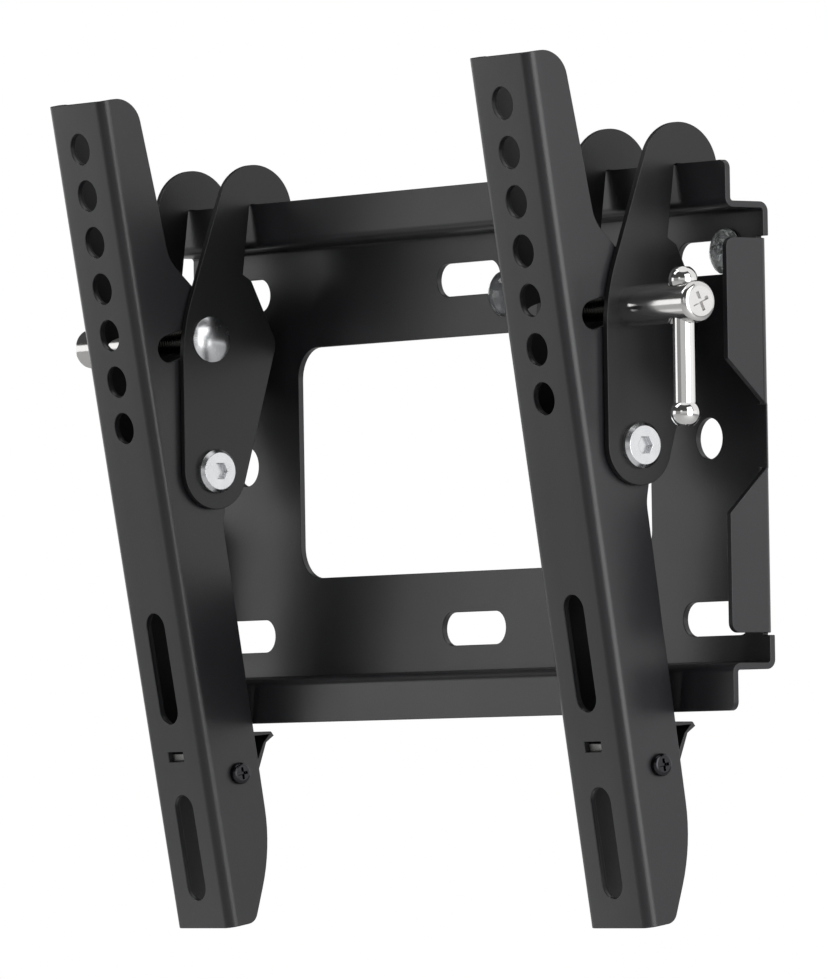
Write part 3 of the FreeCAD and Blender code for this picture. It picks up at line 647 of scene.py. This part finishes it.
# the pale clouds and near-white flecks of the vial's cup are painted highlights, in place of the
# clear dome's reflections
CUP = Moulding("vial_cup", "clear_plastic", (0.09, 0.092, 0.095), (0.62, 0.625, 0.63),
               spark=(0.97, 0.97, 0.97), cloud=1.1 * MM)
PLAIN_CUP = Moulding("disc_cup", "clear_plastic", (0.10, 0.10, 0.105), (0.13, 0.13, 0.135))
RING_MARK = Moulding("vial_ring", "clear_plastic", (0.32, 0.33, 0.33), (0.42, 0.43, 0.43))


def deselect() -> None:
    """Leaves no object selected."""
    bpy.ops.object.select_all(action="DESELECT")


class Workpiece:
    """One mesh on the bench, shaped with the edit operators as by hand."""

    def __init__(self, piece: bpy.types.Object) -> None:
        """Takes an object of the scene and makes it the only chosen one."""
        self.piece = piece
        self.alone()

    @classmethod
    def added(cls, name: str, add: Callable[..., object], **settings: object) -> "Workpiece":
        """Adds a primitive with nothing else selected.

        Args:
            name: the name that the object and its mesh get.
            add: the operator that adds it.
            settings: the operator's settings.

        Returns:
            The new workpiece.
        """
        deselect()
        add(**settings)
        piece = bpy.context.active_object
        piece.name = name
        piece.data.name = name
        return cls(piece)

    @classmethod
    def disc(cls, name: str, centre: Vector, radius: float, sides: int = 64) -> "Workpiece":
        """Adds a filled circle that faces the front.

        Args:
            name: the piece's name.
            centre: its middle.
            radius: its radius.
            sides: how many sides it has.

        Returns:
            The new workpiece.
        """
        return cls.added(name, bpy.ops.mesh.primitive_circle_add, vertices=sides, radius=radius,
                         fill_type="NGON", location=centre, rotation=(math.pi / 2, 0.0, 0.0))

    @classmethod
    def twin(cls, node: str, name: str, merge: float = MERGE) -> "Workpiece":
        """Copies a node of the solid model and merges its loose triangles.

        Args:
            node: the node's name.
            name: the copy's name.
            merge: how near two points are that become one.

        Returns:
            The copy on the bench.
        """
        piece = bpy.data.objects.new(name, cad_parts[node].data.copy())
        bpy.context.scene.collection.objects.link(piece)
        made = cls(piece)
        bpy.ops.mesh.customdata_custom_splitnormals_clear()
        made.edit()
        bpy.ops.mesh.remove_doubles(threshold=merge)
        bpy.ops.mesh.dissolve_limited(angle_limit=math.radians(FLAT))
        made.leave()
        return made

    def alone(self) -> None:
        """Makes the piece the active object and the only selected one, outside edit mode."""
        if bpy.context.mode != "OBJECT":
            self.leave()
        deselect()
        self.piece.select_set(True)
        bpy.context.view_layer.objects.active = self.piece

    def edit(self, element: Element = Element.VERT) -> None:
        """Opens the mesh with all of it selected.

        Args:
            element: what the next selections pick.
        """
        self.alone()
        bpy.ops.object.mode_set(mode="EDIT")
        bpy.ops.mesh.select_mode(type=element.value)
        bpy.ops.mesh.select_all(action="SELECT")

    def leave(self) -> None:
        """Closes the mesh."""
        bpy.ops.object.mode_set(mode="OBJECT")

    def choose(self, element: Element, wanted: Callable[[Vector, Vector], bool]) -> None:
        """Opens the mesh and selects some of its faces, edges or vertices.

        Args:
            element: which of them.
            wanted: a test of the middle in the scene and of the normal, or an edge's direction.
        """
        self.edit(element)
        bpy.ops.mesh.select_all(action="DESELECT")
        mesh = bmesh.from_edit_mesh(self.piece.data)
        world = self.piece.matrix_world
        turned = world.to_3x3()
        if element is Element.FACE:
            found = [(item, item.calc_center_median(), item.normal) for item in mesh.faces]
        elif element is Element.EDGE:
            found = [(item, (item.verts[0].co + item.verts[1].co) / 2,
                      (item.verts[1].co - item.verts[0].co).normalized()) for item in mesh.edges]
        else:
            found = [(item, item.co, item.normal) for item in mesh.verts]
        for item, middle, direction in found:
            if wanted(world @ middle, turned @ direction):
                item.select_set(True)
        mesh.select_flush_mode()
        bmesh.update_edit_mesh(self.piece.data)

    def settle(self) -> None:
        """Puts the object's place and turn into its mesh."""
        self.alone()
        bpy.ops.object.transform_apply(location=True, rotation=True, scale=True)

    def modify(self, kind: str, **settings: object) -> None:
        """Adds a modifier and applies it.

        Args:
            kind: the modifier's type.
            settings: its properties.
        """
        self.alone()
        modifier = self.piece.modifiers.new(kind.lower(), kind)
        for key, value in settings.items():
            setattr(modifier, key, value)
        bpy.ops.object.modifier_apply(modifier=modifier.name)

    def crease(self, angle: float) -> None:
        """Shades the piece smooth apart from edges sharper than the angle."""
        self.alone()
        bpy.ops.object.shade_smooth_by_angle(angle=math.radians(angle))

    def soften(self, width: float, sharp: float = 30.0) -> None:
        """Rounds every sharp edge by a small width, with the faces beside it kept flat.

        Args:
            width: how far the rounding reaches from the edge.
            sharp: the least angle that counts as an edge.
        """
        self.crease(sharp)
        self.modify("BEVEL", width=width, segments=2, limit_method="ANGLE",
                    angle_limit=math.radians(sharp), use_clamp_overlap=False, profile=0.5,
                    loop_slide=False, harden_normals=True)

    def smooth(self, angle: float) -> None:
        """Shades the piece smooth up to an angle, with flat faces kept flat."""
        self.crease(angle)
        self.modify("WEIGHTED_NORMAL", mode="FACE_AREA", weight=60, keep_sharp=True)

    def absorb(self, others: list["Workpiece"]) -> None:
        """Joins other workpieces into this one.

        Args:
            others: the workpieces, which end here.
        """
        self.alone()
        for other in others:
            other.piece.select_set(True)
        bpy.ops.object.join()

    def cut(self, x: float, keep_high: bool) -> None:
        """Cuts the piece across at an X and closes the cut.

        Args:
            x: where the cut is.
            keep_high: whether the part beyond it towards +X stays.
        """
        self.edit()
        bpy.ops.mesh.bisect(plane_co=(x, 0.0, 0.0), plane_no=(1.0, 0.0, 0.0), use_fill=True,
                            clear_inner=keep_high, clear_outer=not keep_high)
        self.leave()


class Assembly:
    """What every sub-assembly shares: fitting a finished piece to its body and reporting it."""

    def fit(self, work: Workpiece, body: str, finish: Finish, *nodes: str) -> None:
        """Dresses a finished piece and fixes it to a body.

        Args:
            work: the finished workpiece.
            body: the body that it moves with.
            finish: its surface.
            nodes: the nodes of the solid model that it stands for.
        """
        finish.dress(work.piece)
        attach(work.piece, body)
        if nodes:
            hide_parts(*nodes)
        log.info("%s rides on %s, %d faces", work.piece.name, body, len(work.piece.data.polygons))

    def paint(self, node: str, finish: Finish) -> None:
        """Gives a node of the solid model its finish."""
        finish.dress(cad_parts[node])
        log.info("%s is finished in %s", node, finish.name)


@dataclass
class FoldedSheet(Assembly):
    """A cut and folded sheet whose edges were rounded by tumbling before the paint."""

    node: str
    body: str
    finish: Finish = POWDER
    edge: float = 0.22 * MM
    merge: float = MERGE

    def build(self) -> None:
        """Rounds the edges of the sheet and dresses it."""
        self.paint(self.node, self.finish)
        work = Workpiece.twin(self.node, f"{self.node}_sheet", self.merge)
        work.soften(self.edge)
        self.fit(work, self.body, self.finish, self.node)


@dataclass
class Thread:
    """A screw thread along X: a core and one helical ridge.

    The ridge's section is a diamond, sunk into the core, of which the half that stands out is the
    thread. Its lead-in at each end, half-width and crest flat are shares of the pitch.
    """

    crest: float
    root: float
    pitch: float
    steps: int = 28
    core_sides: int = 40
    chamfer: float = 0.2 * MM
    chamfer_share: float = 0.45
    lead_in: float = 0.55
    half_width: float = 0.46
    crest_flat: float = 0.10
    over_height: float = 1.1

    @property
    def depth(self) -> float:
        """How far the crest stands above the root."""
        return self.crest - self.root

    def build(self, name: str, axis: Vector, run: Span, free_low: bool) -> list[Workpiece]:
        """Models the thread between two places on its axis.

        Args:
            name: the name that its parts start with.
            axis: a point on the axis.
            run: the X of its two ends, the lower one first.
            free_low: whether the free end of the bolt is the one towards -X.

        Returns:
            The core and the ridge.
        """
        low, high = run
        middle = Vector(((low + high) / 2, axis.y, axis.z))
        core = Workpiece.added(f"{name}_core", bpy.ops.mesh.primitive_cylinder_add,
                               vertices=self.core_sides, radius=self.root, depth=high - low,
                               location=middle, rotation=(0.0, math.pi / 2, 0.0))
        end = low if free_low else high
        core.choose(Element.EDGE,
                    lambda at, along: abs(at.x - end) < NEAR and abs(along.x) < ACROSS_X)
        bpy.ops.mesh.bevel(offset=self.chamfer_share * self.depth + self.chamfer, segments=1)
        core.leave()
        core.settle()
        return [core, self._ridge(name, axis, run)]

    def _ridge(self, name: str, axis: Vector, run: Span) -> Workpiece:
        """Winds the ridge.

        Args:
            name: the name that it starts with.
            axis: a point on the axis.
            run: the X of the thread's two ends.

        Returns:
            The ridge.
        """
        low, high = run
        radius = self.depth * self.over_height
        start = low + self.lead_in * self.pitch
        turns = int((high - low - 2 * self.lead_in * self.pitch) / self.pitch)
        ridge = Workpiece.added(f"{name}_ridge", bpy.ops.mesh.primitive_circle_add, vertices=4,
                                radius=radius, location=(start, axis.y, axis.z))
        ridge.edit()
        bpy.ops.transform.resize(value=(self.half_width * self.pitch / radius, 1.0, 1.0))
        bpy.ops.transform.translate(value=(0.0, self.root, 0.0))
        half_way = axis.y + self.root + self.depth / 2
        ridge.choose(Element.VERT, lambda at, normal: at.y > half_way)
        bpy.ops.mesh.bevel(offset=self.crest_flat * self.pitch, affect="VERTICES")
        ridge.leave()
        ridge.modify("SCREW", axis="X", angle=math.tau, screw_offset=self.pitch,
                     iterations=max(turns, 1), steps=self.steps, render_steps=self.steps,
                     use_merge_vertices=True, merge_threshold=WELD)
        ridge.edit()
        bpy.ops.mesh.select_all(action="DESELECT")
        bpy.ops.mesh.select_non_manifold()
        bpy.ops.mesh.fill_holes(sides=8)
        bpy.ops.mesh.select_all(action="SELECT")
        bpy.ops.mesh.normals_make_consistent(inside=False)
        ridge.leave()
        ridge.settle()
        return ridge


COARSE_8 = Thread(crest=3.97 * MM, root=3.36 * MM, pitch=1.25 * MM)
COARSE_4 = Thread(crest=1.97 * MM, root=1.60 * MM, pitch=0.70 * MM, steps=20)


@dataclass
class ThreadedBolt(Assembly):
    """A bolt whose head comes from the solid model and whose end carries a cut thread."""

    node: str
    body: str
    finish: Finish
    thread: Thread
    thread_length: float
    free_low: bool
    edge: float = 0.12 * MM
    sharp: float = 40.0
    overlap: float = 0.1 * MM

    def build(self) -> None:
        """Cuts the plain end away, softens the head's edges and winds the thread."""
        self.paint(self.node, self.finish)
        low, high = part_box(self.node)
        work = Workpiece.twin(self.node, f"{self.node}_threaded")
        if self.free_low:
            seam = low.x + self.thread_length
            run = (low.x, seam + self.overlap)
        else:
            seam = high.x - self.thread_length
            run = (seam - self.overlap, high.x)
        work.cut(seam, keep_high=self.free_low)
        work.soften(self.edge, self.sharp)
        work.absorb(self.thread.build(self.node, (low + high) / 2, run, self.free_low))
        work.smooth(self.sharp)
        self.fit(work, self.body, self.finish, self.node)


@dataclass
class ClampHandle(Assembly):
    """Barrel nut with its sliding bar and the two balls on the bar's ends."""

    side: Side
    end_radius: float = 1.9 * MM
    end_steps: int = 6
    cross_length: float = 6.2 * MM
    cross_width: float = 1.1 * MM
    cross_depth: float = 0.8 * MM
    cross_turn: float = 24.0
    sharp: float = 28.0

    def build(self) -> None:
        """Rounds the barrel's free end, and dresses the bar and balls as they are."""
        node = f"{self.side}_clamp_barrel"
        self.paint(node, TURNED_NICKEL)
        self.paint(f"{self.side}_tommy_bar", NICKEL)
        self.paint(f"{self.side}_tommy_balls", NICKEL)
        low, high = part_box(node)
        outward = 1.0 if self.side is Side.RIGHT else -1.0
        tip = (low + high) / 2
        tip.x = high.x if outward > 0 else low.x
        work = Workpiece.twin(node, f"{node}_rounded")
        self._round(work, tip, outward, (high.z - low.z) / 2)
        for turn in (self.cross_turn, self.cross_turn + RIGHT_ANGLE):
            self._stamp(work, tip, turn)
        work.crease(self.sharp)
        self.fit(work, f"{self.side}_clamp", TURNED_NICKEL, node)

    def _round(self, work: Workpiece, tip: Vector, outward: float, radius: float) -> None:
        """Cuts the barrel's end off and builds it anew with a rounded edge.

        Args:
            work: the barrel.
            tip: the middle of its end.
            outward: 1 where the end faces +X, else -1.
            radius: the barrel's radius.
        """
        seam = tip.x - outward * self.end_radius
        work.cut(seam, keep_high=outward < 0)
        work.choose(Element.FACE,
                    lambda at, facing: abs(at.x - seam) < NEAR and abs(facing.x) > ALONG_X)
        core = radius - self.end_radius
        angles = [math.radians(RIGHT_ANGLE * step / self.end_steps)
                  for step in range(self.end_steps + 1)]
        for before, after in zip(angles, angles[1:]):
            rise = outward * self.end_radius * (math.sin(after) - math.sin(before))
            bpy.ops.mesh.extrude_region_move(TRANSFORM_OT_translate={"value": (rise, 0.0, 0.0)})
            ratio = ((core + self.end_radius * math.cos(after))
                     / (core + self.end_radius * math.cos(before)))
            bpy.ops.transform.resize(value=(1.0, ratio, ratio), center_override=tip)
        work.leave()

    def _stamp(self, work: Workpiece, middle: Vector, turn: float) -> None:
        """Cuts one bar of the cross into the barrel's end.

        Args:
            work: the barrel.
            middle: the middle of the end.
            turn: the bar's turn about X.
        """
        cutter = Workpiece.added(
            "cross_cutter", bpy.ops.mesh.primitive_cube_add, size=1.0, location=middle,
            rotation=(math.radians(turn), 0.0, 0.0),
            scale=(2 * self.cross_depth, self.cross_width, self.cross_length))
        cutter.settle()
        work.modify("BOOLEAN", operation="DIFFERENCE", solver="EXACT", object=cutter.piece)
        bpy.data.objects.remove(cutter.piece)


@dataclass
class Nut(Assembly):
    """A hexagon nut with softened corners."""

    node: str
    body: str
    finish: Finish
    edge: float = 0.15 * MM
    sharp: float = 25.0

    def build(self) -> None:
        """Rounds the nut's edges and dresses it."""
        self.paint(self.node, self.finish)
        work = Workpiece.twin(self.node, f"{self.node}_body")
        work.soften(self.edge, self.sharp)
        self.fit(work, self.body, self.finish, self.node)


@dataclass
class DomedDisc(Assembly):
    """Clear domed disc on the wall plate, closed at the back by a cup."""

    node: str
    clear: Finish
    cup: Finish
    cup_radius: float = 6.6 * MM
    cup_foot: float = 0.25 * MM
    cup_depth: float = 0.9 * MM
    cup_rim: float = 0.7 * MM
    cup_slope: float = 0.3 * MM
    cup_hollow: float = 0.45 * MM
    cup_edge: float = 0.08 * MM

    def __post_init__(self) -> None:
        """Measures the disc of the solid model."""
        low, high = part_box(self.node)
        self.middle = (low + high) / 2
        self.back = high.y

    def build(self) -> None:
        """Dresses the clear disc and builds the cup."""
        self.paint(self.node, self.clear)
        self._cup()

    def _at(self, depth: float, x: float = 0.0, z: float = 0.0) -> Vector:
        """A point in front of the wall plate, measured from the disc's axis."""
        return Vector((self.middle.x + x, self.back - depth, self.middle.z + z))

    def _cup(self) -> None:
        """Models the cup that closes the back of the disc."""
        work = Workpiece.disc(f"{self.node}_cup", self._at(self.cup_foot), self.cup_radius)
        work.edit(Element.FACE)
        bpy.ops.mesh.extrude_region_move(
            TRANSFORM_OT_translate={"value": (0.0, -self.cup_depth, 0.0)})
        bpy.ops.mesh.inset(thickness=self.cup_rim, depth=0.0)
        bpy.ops.mesh.inset(thickness=self.cup_slope, depth=-self.cup_hollow)
        bpy.ops.mesh.select_all(action="SELECT")
        bpy.ops.mesh.normals_make_consistent(inside=False)
        work.leave()
        work.settle()
        work.soften(self.cup_edge)
        self.fit(work, "wall", self.cup)


@dataclass
class BubbleLevel(DomedDisc):
    """Round vial on the wall plate: cup, two marked rings and the bubble in the liquid.

    The bubble's place is how far it stands in front of the plate, and its X and Z from the axis.
    """

    ring_radii: tuple[float, ...] = (2.5 * MM, 4.4 * MM)
    ring_place: float = 0.85 * MM
    ring_width: float = 0.22 * MM
    ring_height: float = 0.25 * MM
    ring_edge: float = 0.05 * MM
    ring_sharp: float = 40.0
    bubble_radius: float = 1.35 * MM
    bubble_place: Point = (2.35 * MM, -1.2 * MM, 2.9 * MM)
    bubble_stretch: Point = (1.15, 0.72, 1.0)
    bubble_sharp: float = 60.0

    def build(self) -> None:
        """Builds the disc with its cup and then what is inside."""
        super().build()
        for index, radius in enumerate(self.ring_radii, start=1):
            self._ring(index, radius)
        self._bubble()

    def _ring(self, index: int, radius: float) -> None:
        """Models one raised ring mark.

        Args:
            index: its number from the middle.
            radius: its radius.
        """
        work = Workpiece.disc(f"level_ring_{index}", self._at(self.ring_place), radius)
        work.edit(Element.FACE)
        bpy.ops.mesh.inset(thickness=self.ring_width, depth=0.0)
        bpy.ops.mesh.delete(type="FACE")
        work.leave()
        work.settle()
        work.modify("SOLIDIFY", thickness=self.ring_height, offset=1.0)
        work.soften(self.ring_edge)
        work.smooth(self.ring_sharp)
        self.fit(work, "wall", RING_MARK)

    def _bubble(self) -> None:
        """Models the bubble, which has risen to the upper side of the vial."""
        work = Workpiece.added("level_bubble", bpy.ops.mesh.primitive_uv_sphere_add, segments=32,
                               ring_count=20, radius=self.bubble_radius,
                               location=self._at(*self.bubble_place))
        work.edit()
        bpy.ops.transform.resize(value=self.bubble_stretch)
        work.leave()
        work.settle()
        work.smooth(self.bubble_sharp)
        self.fit(work, "wall", AIR)


@dataclass
class Bracket(Assembly):
    """The whole bracket, from the wall plate outwards."""

    plate_merge: float = 0.12 * MM
    latch_edge: float = 0.15 * MM
    latch_screw_edge: float = 0.08 * MM
    latch_nut_edge: float = 0.10 * MM
    pivot_overhang: float = 2.2 * MM
    latch_overhang: float = 2.0 * MM
    tilt_shank: float = 52.4 * MM

    def build(self) -> None:
        """Builds and dresses every sub-assembly."""
        FoldedSheet("wall_plate", "wall", merge=self.plate_merge).build()
        BubbleLevel("spirit_level", VIAL, CUP).build()
        DomedDisc("middle_disc", CLEAR, PLAIN_CUP).build()
        for side in Side:
            self._arm(side)
            self._fasteners(side)

    def _arm(self, side: Side) -> None:
        """Builds the sheet pieces and washers of one arm.

        Args:
            side: which arm.
        """
        FoldedSheet(f"{side}_arm", f"{side}_tilting_arm", ARM_COAT[side]).build()
        for place in ("inner", "outer"):
            FoldedSheet(f"{side}_{place}_hook", f"{side}_carriage", SHADED_HOOK_COAT).build()
        FoldedSheet(f"{side}_latch", f"{side}_pawl", LATCH_PAINT[side], self.latch_edge).build()
        self.paint(f"{side}_friction_washers", FIBRE)

    def _fasteners(self, side: Side) -> None:
        """Builds the bolts, nuts and handle of one arm.

        Args:
            side: which arm.
        """
        carriage = f"{side}_carriage"
        arm = f"{side}_tilting_arm"
        ThreadedBolt(f"{side}_pivot_bolt", carriage, ZINC_PIVOT, COARSE_8,
                     self.pivot_overhang, free_low=True).build()
        Nut(f"{side}_pivot_nut", carriage, ZINC_PIVOT).build()
        ThreadedBolt(f"{side}_tilt_bolt", carriage, ZINC_TILT[side], COARSE_8, self.tilt_shank,
                     free_low=side is Side.LEFT).build()
        ThreadedBolt(f"{side}_latch_screw", arm, BLACK_ZINC, COARSE_4, self.latch_overhang,
                     free_low=True, edge=self.latch_screw_edge).build()
        Nut(f"{side}_latch_nut", arm, BLACK_ZINC, self.latch_nut_edge).build()
        ClampHandle(side).build()


@dataclass(frozen=True)
class Card:
    """A curved glowing card round the object that shows only in its reflections.

    Its bearings are angles from the front towards +X, its heights those of its foot and head.
    """

    name: str
    bearings: Span
    glow: float
    heights: Span = (-0.40, 0.75)
    radius: float = 3.6
    full_sides: int = 180

    def build(self) -> None:
        """Cuts the card out of an open cylinder."""
        start, end = self.bearings
        foot, head = self.heights
        card = Workpiece.added(self.name, bpy.ops.mesh.primitive_cylinder_add,
                               vertices=self.full_sides, radius=self.radius, depth=head - foot,
                               end_fill_type="NOTHING", location=(0.0, 0.0, (foot + head) / 2))
        card.choose(Element.FACE, lambda at, facing: not (
            start < math.degrees(math.atan2(at.x, -at.y)) < end))
        bpy.ops.mesh.delete(type="FACE")
        card.leave()
        StageSurface(f"{self.name}_paint", "", BLACK, self.glow).dress(card.piece)
        for ray in ("camera", "diffuse", "shadow", "transmission", "volume_scatter"):
            setattr(card.piece, f"visible_{ray}", False)


@dataclass(frozen=True)
class Lamp:
    """A soft rectangular lamp aimed at the object, with its power in watts."""

    name: str
    place: Point
    size: Span
    power: float

    def build(self) -> None:
        """Hangs the lamp."""
        light = bpy.data.lights.new(self.name, "AREA")
        light.shape = "RECTANGLE"
        light.size, light.size_y = self.size
        light.energy = self.power
        holder = bpy.data.objects.new(self.name, light)
        bpy.context.scene.collection.objects.link(holder)
        holder.location = self.place
        holder.rotation_euler = (-Vector(self.place)).to_track_quat("-Z", "Y").to_euler()
        holder.visible_camera = False


CARDS = (
    Card("card_long_box", (-112.0, -27.0), 1.35),
    Card("card_room", (-27.0, 16.0), 0.30),
    Card("card_side", (16.0, 66.0), 0.60),
    Card("card_small_box", (17.0, 31.0), 1.2, (0.40, 1.05), 3.5),
    Card("card_hood", (-150.0, 118.0), 0.06, (0.75, 6.0)),
    Card("card_rear", (112.0, 150.0), 1.18),
    Card("card_low_box", (-68.0, -38.0), 1.05, (-0.37, -0.22), 0.55),
)
LAMPS = (
    Lamp("key", (-1.3, -1.6, 2.4), (1.6, 1.6), 26.0),
    Lamp("soft_box", (1.30, -0.04, 0.20), (0.90, 1.50), 12.0),
)


@dataclass
class Studio:
    """Pale floor, plain soft light, cards that the bright pieces mirror, and the camera.

    The focal length is in pixels of a picture whose long side has the pixels given.
    """

    floor_height: float = -0.40
    floor_radius: float = 4.0
    floor_sides: int = 96
    floor_colour: Colour = (0.86, 0.86, 0.86)
    fill: float = 0.30
    azimuth: float = 52.5
    elevation: float = -1.83
    roll: float = -0.908
    distance: float = 3.1801
    focal_pixels: float = 10070.97
    long_side: int = 979
    clip: Span = (0.1, 60.0)
    target: Point = (-0.03252, 0.0, -0.010215)

    def build(self) -> None:
        """Builds the whole studio."""
        self._world()
        self._floor()
        for fitting in CARDS + LAMPS:
            fitting.build()
            log.info("%s is set up", fitting.name)
        self._camera()

    def _world(self) -> None:
        """White behind the object and in its reflections, softer as a light on it."""
        world = bpy.data.worlds.new("studio")
        bpy.context.scene.world = world
        tree = Tree(world)
        path = tree.add("LightPath")
        seen = Value(tree, path.outputs["Is Camera Ray"])
        for name in ("Is Glossy Ray", "Is Transmission Ray"):
            seen = seen + Value(tree, path.outputs[name])
        strength = self.fill + (1.0 - self.fill) * seen.held(0.0, 1.0)
        sky = tree.add("Background", Color=WHITE, Strength=strength)
        tree.add("OutputWorld", Surface=sky.outputs[0])

    def _floor(self) -> None:
        """A pale round floor below the object."""
        floor = Workpiece.added("floor", bpy.ops.mesh.primitive_circle_add, fill_type="NGON",
                                vertices=self.floor_sides, radius=self.floor_radius,
                                location=(0.0, 0.0, self.floor_height))
        StageSurface("floor_paint", "", self.floor_colour).dress(floor.piece)

    def _camera(self) -> None:
        """Sets the camera where the photograph was taken from."""
        turn, rise, roll = (math.radians(a) for a in (self.azimuth, self.elevation, self.roll))
        back = Vector((math.sin(turn) * math.cos(rise), -math.cos(turn) * math.cos(rise),
                       math.sin(rise)))
        right = (-back).cross(Vector((0.0, 0.0, 1.0))).normalized()
        up = right.cross(-back)
        across = right * math.cos(roll) + up * math.sin(roll)
        upright = up * math.cos(roll) - right * math.sin(roll)
        data = bpy.data.cameras.new("camera")
        data.lens = data.sensor_width * self.focal_pixels / self.long_side
        data.clip_start, data.clip_end = self.clip
        camera = bpy.data.objects.new("camera", data)
        bpy.context.scene.collection.objects.link(camera)
        place = Matrix((across, upright, back)).transposed().to_4x4()
        place.translation = Vector(self.target) + back * self.distance
        camera.matrix_world = place
        bpy.context.scene.camera = camera


def main() -> None:
    """Builds the bracket and the studio."""
    logging.basicConfig(level=logging.INFO, format="%(name)s: %(message)s")
    Bracket().build()
    Studio().build()
    bpy.context.scene.view_settings.view_transform = "Standard"
    deselect()


if __name__ == "__main__":
    main()
